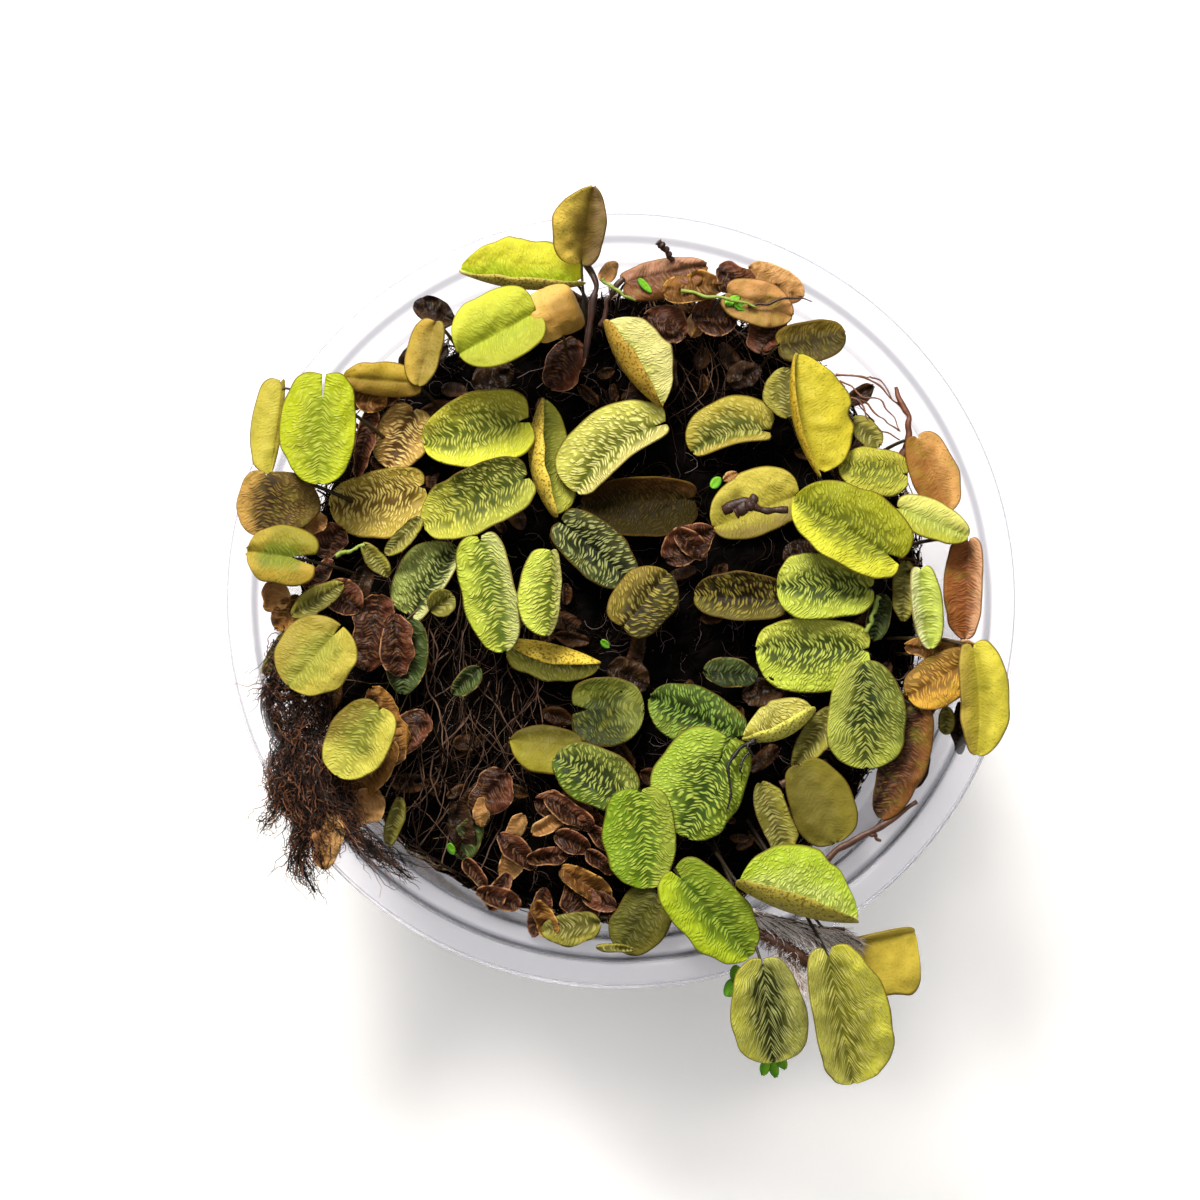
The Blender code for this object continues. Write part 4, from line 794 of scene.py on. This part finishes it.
def hangingHairs(count):
    # hairs on the side of the mass: they start at its shoulder or below, wander down the wall, and lie nearer to it
    # where slow noise pushes them out
    steps = 13
    a = random((count, 1)) * 2 * math.pi + np.cumsum(rng.normal(0, 0.022, (count, steps)), axis=1)
    top = 38 - 26 * random((count, 1)) ** 1.3
    z = np.maximum(top - np.linspace(0, 1, steps) * (5 + 20 * random((count, 1))), 2.0 + random((count, 1)))
    outward = 2.3 * patches(a * 9 + 5, z / 4.0, 8) - 0.3 + 0.35 * random((count, steps))
    radius = matEdge(a) - 3.0 * (38 - z) / 36 + outward
    path = np.stack((radius * np.cos(a), radius * np.sin(a), z), axis=-1)
    width = (0.07 + 0.16 * random((count, 1)) ** 3) * np.linspace(1, 0.6, steps)
    return tubes(path, width, rootForm["sides"], random(count) ** 2)


# Long wavy strands: middle of each patch, its half sizes, heading in degrees and how many
strandPatches = [((-22, -22), (11, 16), -95, 150), ((12, 37), (11, 7), -70, 60), ((-28, 2), (6, 12), -100, 40)]


def wavyStrands():
    # long strands that keep to one heading and sway with slow noise, lying on the hairs below them
    steps, shells = 22, []
    for (cx, cy), (hx, hy), heading, count in strandPatches:
        start = np.array([cx, cy]) + rng.uniform(-1, 1, (count, 2)) * [hx, hy] - [0, -6]
        sway = np.cumsum(rng.normal(0, 0.16, (count, steps)), axis=1) + rng.normal(0, 0.35, (count, 1))
        angle = math.radians(heading) + sway
        x = start[:, :1] + np.cumsum(np.cos(angle), axis=1) * 0.8
        y = start[:, 1:] + np.cumsum(np.sin(angle), axis=1) * 0.8
        inward = np.minimum(1, (matEdge(np.arctan2(y, x)) + 0.5) / np.hypot(x, y))
        x, y = x * inward, y * inward
        z = matTop(x, y) + 0.4 + 1.6 * random((count, 1)) * np.sin(math.pi * np.linspace(0, 1, steps))
        width = 0.07 + 0.10 * random((count, 1)) ** 2
        shells.append(tubes(np.stack((x, y, z), axis=-1), width * np.linspace(1, 0.5, steps), 4, random(count) ** 2))
    return joined(shells)


makeRootBed()
meshPiece("rootStrands", wavyStrands(), rootMaterial("brown wavy root", "180E09", "7E6250"), "roots")
# the lying hairs are kept nearly black, partly as painted shade of the gaps between the leaves
meshPiece("rootHairsDark", lyingHairs(rootForm["hairs"], 46.0, 1.1, 0.40, 1.8, (0.08, 0.15), (0.0, 0.7)),
          rootMaterial("wet dark root hair", "080503", "322218"), "roots")
meshPiece("rootHairsLow", lyingHairs(rootForm["hairs"], 46.0, 1.3, 0.34, 1.0, (0.10, 0.18), (0.0, 0.2)),
          rootMaterial("wet black root hair", "070403", "281A12"), "roots")
# thin pale grey hairs: mostly painted glints of light on the wet roots
meshPiece("rootHairsPaleGlint", lyingHairs(rootForm["glints"], 46.0, 0.9, 0.38, 2.4, (0.05, 0.08), (0.1, 1.0)),
          rootMaterial("pale root hair with painted glint", "3A2A22", "8E7C78"), "roots")
meshPiece("rootHairsSide", hangingHairs(rootForm["sideHairs"]),
          rootMaterial("hanging root hair", "2A1A10", "A88C6C"), "roots")
print("root mass made")

# Root tuft over the rim on the left, with its long strands: route of x, y, z, thickness, spread and hair count
tangleForm = dict(steps=13, width=(0.05, 0.13), strayShare=0.3, frizz=0.3, curl=0.8)
tangleStrands = [
    ([(-48, -22, 46.2), (-48.4, -28, 46.4), (-47, -33, 46), (-46, -37, 45)], 0.4, 1.5, 260),
    ([(-46, -27, 46.8), (-45, -34, 46), (-46.8, -40, 44), (-44, -44.8, 41)], 0.6, 0.8, 220),
    ([(-44.4, -24, 46.6), (-43.5, -30, 46.6), (-38.5, -36.5, 45.6), (-30.3, -42.8, 45)], 0.6, 0.8, 260),
    ([(-50, -8, 45.8), (-50.6, -14, 46.2), (-53, -16.6, 46)], 0.4, 0.7, 110),
    ([(-44.6, -29, 46.6), (-44.2, -36, 45.6), (-43, -41.5, 44.8)], 0.4, 0.7, 130),
    ([(-48.6, -26, 46.6), (-49.4, -32, 45.8), (-52.2, -36.4, 45.2)], 0.3, 0.5, 80),
    ([(-41, -26, 46), (-40, -33, 45.6), (-41.6, -38.6, 44.8)], 0.4, 0.8, 160),
]
tanglePatches = [(620, (-47.2, -17.5), (4.6, 6.5), 44.8), (680, (-46.0, -27.5), (5.2, 6.5), 44.8)]


def tangledHairs(count, centre, half, level):
    # hairs that wander with a new turn at each step over a low dome, held inside an oval by easing back to it
    steps = tangleForm["steps"]
    angle = random((count, 1)) * 2 * math.pi + np.cumsum(rng.normal(0, 0.5, (count, steps)), axis=1)
    r, a = np.sqrt(random((count, 1))), random((count, 1)) * 2 * math.pi
    x = r * np.cos(a) + np.cumsum(np.cos(angle), axis=1) * 0.65 / half[0]
    y = r * np.sin(a) + np.cumsum(np.sin(angle), axis=1) * 0.65 / half[1]
    inward = 1 / np.maximum(1, np.hypot(x, y) / (0.92 + 0.25 * random((count, 1)) ** 2))
    x, y = x * inward, y * inward
    lumps = patches(x * half[0] / 2.1, y * half[1] / 2.1, 21)
    z = level + 2.2 * (1 - x * x - y * y) * (0.4 + 0.9 * lumps) - 2.2 * random((count, 1)) ** 2
    px, py = under(centre[0] + x * half[0], centre[1] + y * half[1], z)
    width = (0.05 + 0.10 * random((count, 1)) ** 2) * np.linspace(1, 0.4, steps)
    return tubes(np.stack((px, py, z), axis=-1), width, 3, random(count) ** 3)


def makeRootTuft():
    # strands are tapering tubes. Hairs run with each strand at an offset that narrows towards its end, and a few
    # stray from it
    shells = [tangledHairs(*patch) for patch in tanglePatches]
    for route, thickness, spread, count in tangleStrands:
        path = alongRoute(route, 40)
        path = np.stack((*under(path[:, 0], path[:, 1], path[:, 2]), path[:, 2]), axis=-1)
        girth = thickness * np.linspace(1, 0.2, 40) * (0.8 + 0.5 * random(40))
        shells.append(tubes(path[None], girth[None], 7, 0.1))
        steps = tangleForm["steps"]
        index = (random((count, 1)) * 30 - 1).astype(int) + np.arange(steps)[None, :]
        index = np.clip(index, 0, 39)
        offset = rng.normal(0, 1, (count, 1, 3)) * [1, 1, 0.4] * spread
        narrow = (1 - 0.75 * index / 39)[..., None]
        frizz = np.cumsum(rng.normal(0, tangleForm["frizz"], (count, steps, 3)) * [1, 1, 0.5], axis=1)
        stray = (random((count, 1, 1)) < tangleForm["strayShare"]) * rng.normal(0, 1.6, (count, 1, 3)) * [1, 1, 0.3]
        ends = (np.linspace(0, 1, steps)[None, :, None]) ** 1.5
        phase = random((count, 1, 3)) * 2 * math.pi + index[..., None] * (0.25 + 0.35 * random((count, 1, 3)))
        frizz = frizz + tangleForm["curl"] * np.sin(phase) * [1, 1, 0.4] * random((count, 1, 1))
        paths = path[index] + offset * narrow + frizz + stray * ends
        width = tangleForm["width"][0] + (tangleForm["width"][1] - tangleForm["width"][0]) * random((count, 1))
        shells.append(tubes(paths, width * np.linspace(1, 0.4, steps)[None], 3, random(count) ** 2.4))
    # the paler tones are partly the strands' own light brown and partly painted glints on the wet strands
    meshPiece("rootTuft", joined(shells), rootMaterial("red-brown root strands with painted glints", "100705", "9A6242", 0.25, (0.3, 0.6)),
              "roots", "root_tuft")


makeRootTuft()
print("root tuft made")


# Stalks, stems and twigs

def stemMaterial(name, ground, patch, glint):
    # Bare fern stem, grown and here and there dead: fine bark-like flecks under a damp sheen
    material, blotch, grain = startMaterial(name, 1.6, 0.35)
    tone = addNode(material, "Attribute", dict(attribute_name="tone")), 2
    colour = paintLayers(material, linear(ground), [(blotch, 0.45, 0.65, 0.7, patch), (tone, 0.0, 1.0, 0.9, glint),
                                                    (grain, 0.6, 0.7, 0.5, "2A1A10")])
    return dressSurface(material, colour, blotch, (0.3, 0.6), grain, 0.1, {"Specular IOR Level": 0.5})


def hairMaterial():
    # Hairs of the creeping stem: brown near their stem, white and silky where they stand in the open
    material, blotch, grain = startMaterial("white and brown stem hair", 2.0, 0.3)
    tone = addNode(material, "Attribute", dict(attribute_name="tone")), 2
    colour = paintLayers(material, linear("5A3626"), [(tone, 0.15, 0.5, 1.0, "FFF6F2")])
    return dressSurface(material, colour, blotch, (0.45, 0.6), grain, 0.02, {"Specular IOR Level": 0.4})


def makeStalks():
    # one curved stalk from the notch of every leaf back and down into the root mass: a cubic Bezier curve
    tops = np.array([top[0, top.shape[1] // 2] for top in leafTops.values()])
    ahead = np.array([top[8, top.shape[1] // 2] - top[0, top.shape[1] // 2] for top in leafTops.values()])
    ahead /= np.linalg.norm(ahead, axis=1, keepdims=True)
    start = tops - [0, 0, 0.35] + ahead * 0.6
    foot = tops * np.minimum(1, 40 / np.hypot(tops[:, 0], tops[:, 1]))[:, None] - ahead * [2, 2, 0]
    foot[:, 2] = matTop(foot[:, 0], foot[:, 1]) - 1
    behind = start - ahead * 2.2
    above = foot + (tops - foot) * 0.35
    above[:, 2] = np.where(np.hypot(tops[:, 0], tops[:, 1]) > 47, np.maximum(above[:, 2], 46.4), foot[:, 2] + 0.5)
    t = np.linspace(0, 1, 14)[None, :, None]
    paths = ((1 - t) ** 3 * start[:, None] + 3 * t * (1 - t) ** 2 * behind[:, None]
             + 3 * t * t * (1 - t) * above[:, None] + t**3 * foot[:, None])
    radii = np.linspace(0.16, 0.32, 14)[None] * (0.9 + 0.3 * random((len(tops), 1)))
    meshPiece("leafStalks", tubes(paths, radii, 8, random(len(tops))), stemMaterial("green-brown leaf stalk", "261A0C",
              "140C06", "3A3018"), "stem")


# Each twig: route of x, y as seen on the rim plane and z, and its thickness from start to end
twigs = {
    "twigFront": dict(material=("5E3A26", "3A2014", "7A5034"), slot="dry_stem", node="twig_front", routes=[
        ([(23, -29, 45), (27, -27.6, 45.6), (30, -27, 45)], 0.5, 0.3),
        ([(28.5, -41.5, 46.2), (32, -38, 46.8), (36, -36.2, 47.2), (39.5, -34.4, 47.2), (43, -31.6, 46.6)], 0.55, 0.4),
        ([(22.5, -65.8, 42), (25.5, -66.3, 42)], 0.3, 0.25),
        ([(36, -36.2, 47.2), (37.6, -37.6, 46.6)], 0.3, 0.15)]),
    "strandsBack": dict(material=("7A4428", "4A2414", "B08060"), slot="dry_stem", node="strand_back", routes=[
        ([(31.8, 32.8, 46), (36.5, 32.3, 46.6), (40.5, 28.6, 46.6), (42.6, 25.4, 46)], 0.18, 0.12),
        ([(32.6, 31.2, 45.8), (35.6, 29.8, 46.4), (39.0, 28.2, 46.8), (42, 23.8, 46)], 0.15, 0.10),
        ([(34, 28.6, 45.4), (37.2, 27.8, 45.8), (39.4, 25, 46), (41, 23.4, 45.6)], 0.16, 0.10),
        ([(31.6, 30.2, 45.4), (34.6, 28.8, 46), (37.8, 24.4, 46.2), (41.6, 22, 45.6)], 0.14, 0.10),
        ([(34.6, 32.9, 46.2), (39.4, 31.0, 46.8), (41.2, 27.8, 46.6)], 0.12, 0.08),
        ([(41.0, 30.4, 47), (42.9, 26, 47.4), (42.8, 23, 47), (41.8, 19.5, 46)], 0.28, 0.6)]),
    "twigsTop": dict(material=("3E2216", "22110A", "5E3A26"), slot="dry_stem", node=None, routes=[
        ([(7.6, 50.6, 46.6), (6.8, 51.8, 48), (5.4, 53, 49)], 0.35, 0.6),
        ([(19, 42.8, 46.6), (25, 44.3, 47.4), (29, 43.9, 47.4)], 0.25, 0.12),
        ([(15, 11.7, 48.4), (17.4, 12.6, 49.2), (18.8, 13.2, 49.4), (21, 11.4, 49), (24.5, 11.5, 48.6)], 0.7, 0.45),
        ([(17, 11.4, 48.8), (19, 12.2, 49.4), (20, 13.6, 49.2)], 0.9, 0.6),
        ([(-5.6, 50.6, 46), (-3.6, 46.6, 46.4), (-4.4, 41, 45), (-5.6, 34, 43)], 0.5, 0.4),
        ([(0.4, 47.4, 46), (-1.8, 44.6, 45.6), (-3, 40, 44)], 0.4, 0.3),
        ]),
    "darkRootlets": dict(material=("140C08", "0A0604", "3A241A"), slot="dry_stem", node=None, routes=[
        ([(19.4, -22.6, 47), (16.8, -24, 47.8), (15.2, -26.6, 48), (15.9, -29.6, 47.8), (15.2, -33, 47.4)], 0.34, 0.14),
        ([(18.6, -24.6, 47.2), (17.4, -26.4, 47.6), (17.8, -28.6, 47.2)], 0.22, 0.1),
        ([(20.6, -21.4, 46.6), (18.2, -23.6, 47.6), (19.8, -26, 47)], 0.25, 0.12)]),
    "greenStems": dict(material=("8EA03C", "6A7A2C", "B4C85A"), slot="stem", node=None, routes=[
        ([(-3, 47.5, 47.4), (0, 45, 47.4), (2, 43.8, 47)], 0.3, 0.2),
        ([(9, 45.4, 47.2), (14, 44.6, 47.4), (20.5, 43, 47)], 0.28, 0.2),
        ([(-42.2, 4.8, 46), (-38, 6.2, 45)], 0.3, 0.25),
        ([(38, -1.2, 45), (36, -7, 44)], 0.35, 0.3)]),
}


def makeTwigs(name, twig):
    # tubes that swell and shrink a little along the way, like dried stems with their knots
    shells = []
    for count, (route, first, last) in enumerate(twig["routes"]):
        path = alongRoute(route, 30, 6)
        path = np.stack((*under(path[:, 0], path[:, 1], path[:, 2]), path[:, 2]), axis=-1)
        sway = max(0.5, 1.6 - 4 * first)
        path[:, 0] += sway * (patches(np.arange(30) / 4.0, np.full(30, 1.0), count) - 0.5)
        path[:, 1] += sway * (patches(np.arange(30) / 5.0, np.full(30, 3.0), count + 9) - 0.5)
        knots = 0.75 + 0.6 * patches(np.arange(30) / 3.0, np.full(30, 2.0), count + 5)
        shells.append(tubes(path[None], (np.linspace(first, last, 30) * knots)[None], 9, 0.3 * random()))
    ground, patch, glint = twig["material"]
    meshPiece(name, joined(shells), stemMaterial("bark of " + name, ground, patch, glint), twig["slot"],
              *([twig["node"]] if twig["node"] else []))


# Creeping stem in front, each part with its coat of hairs: heading and spread in degrees, length, girth of a hair
rhizomeParts = [
    dict(route=[(16.5, -47.5, 45.8), (20, -48.4, 46.4), (24, -49.4, 46.6), (28.4, -50.4, 46.6), (32, -50.6, 46.4)],
         radius=0.75, tone=0.1, hairs=2600, heading=-34, spread=12, length=4.2, girth=0.08, tones=(0.1, 1.0)),
    dict(route=[(19.5, -50.4, 46.4), (23.6, -52.4, 46.6), (27.8, -55.4, 46)],
         radius=0.8, tone=0.0, hairs=700, heading=-60, spread=75, length=1.9, girth=0.07, tones=(0.0, 0.45)),
    dict(route=[(22.4, -53.4, 45.6), (24.6, -55.2, 45.4), (26, -58.6, 44.6)],
         radius=0.45, tone=0.8, hairs=400, heading=-70, spread=25, length=2.2, girth=0.06, tones=(0.6, 1.0)),
]


def makeRhizome():
    # stems with a coat of soft hairs: each hair starts on its stem, keeps to the heading within the spread, and
    # droops with the square of the way along it
    shells, coats = [], []
    for count, part in enumerate(rhizomeParts):
        path = alongRoute(part["route"], 40)
        path = np.stack((*under(path[:, 0], path[:, 1], path[:, 2]), path[:, 2]), axis=-1)
        radii = part["radius"] * (0.75 + 0.45 * patches(np.arange(40) / 4.0, np.zeros(40), 3 + count))
        shells.append(tubes(path[None], radii[None], 14, part["tone"]))
        n = part["hairs"]
        start = path[(random(n) * 39).astype(int)] + rng.normal(0, 0.45, (n, 3)) * part["radius"]
        angle = np.radians(part["heading"] + part["spread"] * rng.normal(0, 1, n))
        rise = 0.25 + 0.3 * rng.normal(0, 1, n)
        away = np.stack((np.cos(angle), np.sin(angle), rise), axis=-1)
        t = np.linspace(0, 1, 7)[None, :, None]
        length = part["length"] * (0.35 + 0.75 * random((n, 1, 1)))
        paths = start[:, None] + away[:, None] * length * t + rng.normal(0, 0.10, (n, 7, 3)) * t
        paths[..., 2] -= 0.35 * (t[..., 0] ** 2) * length[..., 0]
        low, high = part["tones"]
        girth = part["girth"] * np.linspace(1, 0.45, 7)[None] * np.ones((n, 1))
        coats.append(tubes(paths, girth, 3, low + (high - low) * random(n)))
    meshPiece("creepingStem", joined(shells), stemMaterial("brown rhizome skin", "5E3A28", "4A2C1E", "B89684"),
              "stem", "rhizome_front")
    meshPiece("stemHairs", joined(coats), hairMaterial(), "stem")


makeStalks()
for name, twig in twigs.items():
    makeTwigs(name, twig)
makeRhizome()
print("stalks and twigs made")


# Tub

tubForm = dict(height=45.0, rim=58.5, rimInner=54.4, shoulder=52.1, wallTop=51.3, base=47.6, wall=0.45, spokes=256)


def clearPlasticMaterial():
    # Thin moulded deli tub: clear with a slight milky haze that softens its edges, with painted grey shade where its
    # rim stands on edge. It hardly bends the light, and lets shadow rays pass so that the roots and the floor stay lit
    material, blotch, grain = startMaterial("clear moulded tub plastic", 30.0, 8.0)
    steep = addNode(material, "Attribute", dict(attribute_name="steep")), 2
    # painted shade: grey where the rim is seen edge-on
    colour = paintLayers(material, linear("F2F1F7"), [(steep, 0.6, 1.0, 0.8, "9A9CA8")])
    rough = addNode(material, "MapRange", {}, {0: blotch, 1: 0.3, 2: 0.7, 3: 0.1, 4: 0.18})
    bump = addNode(material, "Bump", {}, {"Height": grain, "Distance": 0.02 * mm, "Strength": 0.4})
    shader = addNode(material, "BsdfPrincipled", {}, {
        "Base Color": colour, "Roughness": (rough, 0), "IOR": 1.18, "Transmission Weight": 0.94,
        "Normal": (bump, 0)})
    clear = addNode(material, "BsdfTransparent", {}, {"Color": (0.93, 0.93, 0.94, 1)})
    path = addNode(material, "LightPath")
    mix = addNode(material, "MixShader", {}, {0: (path, "Is Shadow Ray"), 1: (shader, 0), 2: (clear, 0)})
    addNode(material, "OutputMaterial", {}, {"Surface": (mix, 0)})
    return material


def roundedProfile(corners, radius, steps=5):
    # each inner corner becomes a quadratic curve between points a radius away along its two sides
    done = [corners[0]]
    for before, here, after in zip(corners[:-2], corners[1:-1], corners[2:]):
        before, here, after = (np.array(p, float) for p in (before, here, after))
        cut = min(radius, 0.45 * np.linalg.norm(before - here), 0.45 * np.linalg.norm(after - here))
        p = here + (before - here) / np.linalg.norm(before - here) * cut
        q = here + (after - here) / np.linalg.norm(after - here) * cut
        for t in np.linspace(0, 1, steps):
            done.append(tuple((1 - t) ** 2 * p + 2 * t * (1 - t) * here + t * t * q))
    return np.array(done + [corners[-1]])


def makeTub():
    # the wall's closed profile, from the middle of the floor up the inside, over the rim and down to the middle
    f = tubForm
    h, w = f["height"], f["wall"]
    corners = [(0, w), (f["base"] - 1.6, w), (f["base"] - w, w + 1.6), (f["wallTop"] - w, h - 4.5),
               (f["shoulder"] - 0.2, h - 3.2), (f["rimInner"] - 0.9, h - 2.4), (f["rimInner"], h),
               (f["rim"], h), (f["rim"], h - 2.0), (f["rim"] - w, h - 2.0), (f["rim"] - w, h - w),
               (f["rimInner"] + 0.45, h - w), (f["rimInner"] - 0.35, h - 2.9), (f["shoulder"] + 0.35, h - 3.8),
               (f["wallTop"], h - 4.9), (f["base"], w + 1.4), (f["base"] - 1.4, 0), (0, 0)]
    profile = roundedProfile(corners, 0.9, 7)[1:-1]
    angle = np.arange(f["spokes"]) * 2 * math.pi / f["spokes"]
    height = np.repeat(profile[:, 1:], f["spokes"], axis=1)
    rings = np.stack((profile[:, :1] * np.cos(angle), profile[:, :1] * np.sin(angle), height), axis=-1)
    run, climb = np.gradient(profile[:, 0]), np.gradient(profile[:, 1])
    # how steep the wall stands near the rim: the mask of the painted grey shade on the edge-on rim
    steep = np.abs(climb) / np.hypot(run, climb) * smooth(h - 6.5, h - 4.5, profile[:, 1])
    points, faces, _ = turnedShell(rings, w, 0)
    marks = dict(steep=np.append(np.repeat(steep, f["spokes"]), [0, 0]))
    meshPiece("clearTub", (points, faces, marks), clearPlasticMaterial(), "clear_plastic", "tub")


makeTub()
print("tub made")

# Floor, light and camera: lamps are a place in metres, size, power and colour
stageForm = dict(floorSide=2600.0, floorLevel=-0.1, roomLight=0.2, glow=0.3, exposure=0.0)
lamps = {
    "key panel": ((-0.15, 0.42, 0.52), 0.26, 6.7, "FFFDF8"),
    "top panel": ((0.1, 0.0, 0.8), 0.6, 1.3, "FFFFFF"),
}


def makeFloor():
    # matt white board, a little warm, with a faint unevenness
    material, blotch, grain = startMaterial("matt white card", 60.0, 4.0)
    colour = paintLayers(material, linear("F2EFEB"), [(blotch, 0.3, 0.7, 0.4, "ECE8E3")])
    dressSurface(material, colour, blotch, (0.85, 0.95), grain, 0.05,
                 {"Emission Color": (1.0, 1.0, 1.0, 1.0), "Emission Strength": stageForm["glow"]})
    side, level = stageForm["floorSide"], stageForm["floorLevel"]
    points = np.array([[-side, -side, level], [side, -side, level], [side, side, level], [-side, side, level]])
    meshPiece("floor", (points, [np.array([[0, 1, 2, 3]])], {}), material, None)


def makeLamp(name, place, size, power, colour):
    # a square panel turned to face the leaves
    data = bpy.data.lights.new(name, "AREA")
    data.size = size
    data.energy = power
    data.color = linear(colour)[:3]
    lamp = bpy.data.objects.new(name, data)
    bpy.context.scene.collection.objects.link(lamp)
    aim = np.array([0, 0, sight["rimLevel"] * mm]) - np.array(place)
    lamp.location = place
    lamp.rotation_euler = (math.atan2(math.hypot(aim[0], aim[1]), -aim[2]), 0, math.atan2(-aim[0], aim[1]))


def makeCamera():
    # the photograph's place: 400 mm from the rim's middle and 78.5 degrees up
    data = bpy.data.cameras.new("camera")
    camera = bpy.data.objects.new("camera", data)
    bpy.context.scene.collection.objects.link(camera)
    bpy.context.scene.camera = camera
    side = sight["imageSide"]
    data.sensor_width = 36.0
    data.lens = data.sensor_width * sight["focal"] / side
    data.shift_x = (side / 2 - sight["aimPixel"][0]) / side
    data.shift_y = (sight["aimPixel"][1] - side / 2) / side
    data.clip_start = 0.01
    data.clip_end = 20
    camera.location = (0, -eyeBack * mm, eyeUp * mm)
    camera.rotation_euler = (math.pi / 2 - sight["elevation"], 0, 0)


def makeStage():
    scene = bpy.context.scene
    world = bpy.data.worlds.new("soft white room")
    world.use_nodes = True
    world.node_tree.nodes["Background"].inputs[0].default_value = (1.0, 1.0, 1.0, 1)
    world.node_tree.nodes["Background"].inputs[1].default_value = stageForm["roomLight"]
    scene.world = world
    scene.view_settings.view_transform = "Standard"
    scene.view_settings.exposure = stageForm["exposure"]
    makeFloor()
    for name, (place, size, power, colour) in lamps.items():
        makeLamp(name, place, size, power, colour)
    makeCamera()


makeStage()
print("stage made")
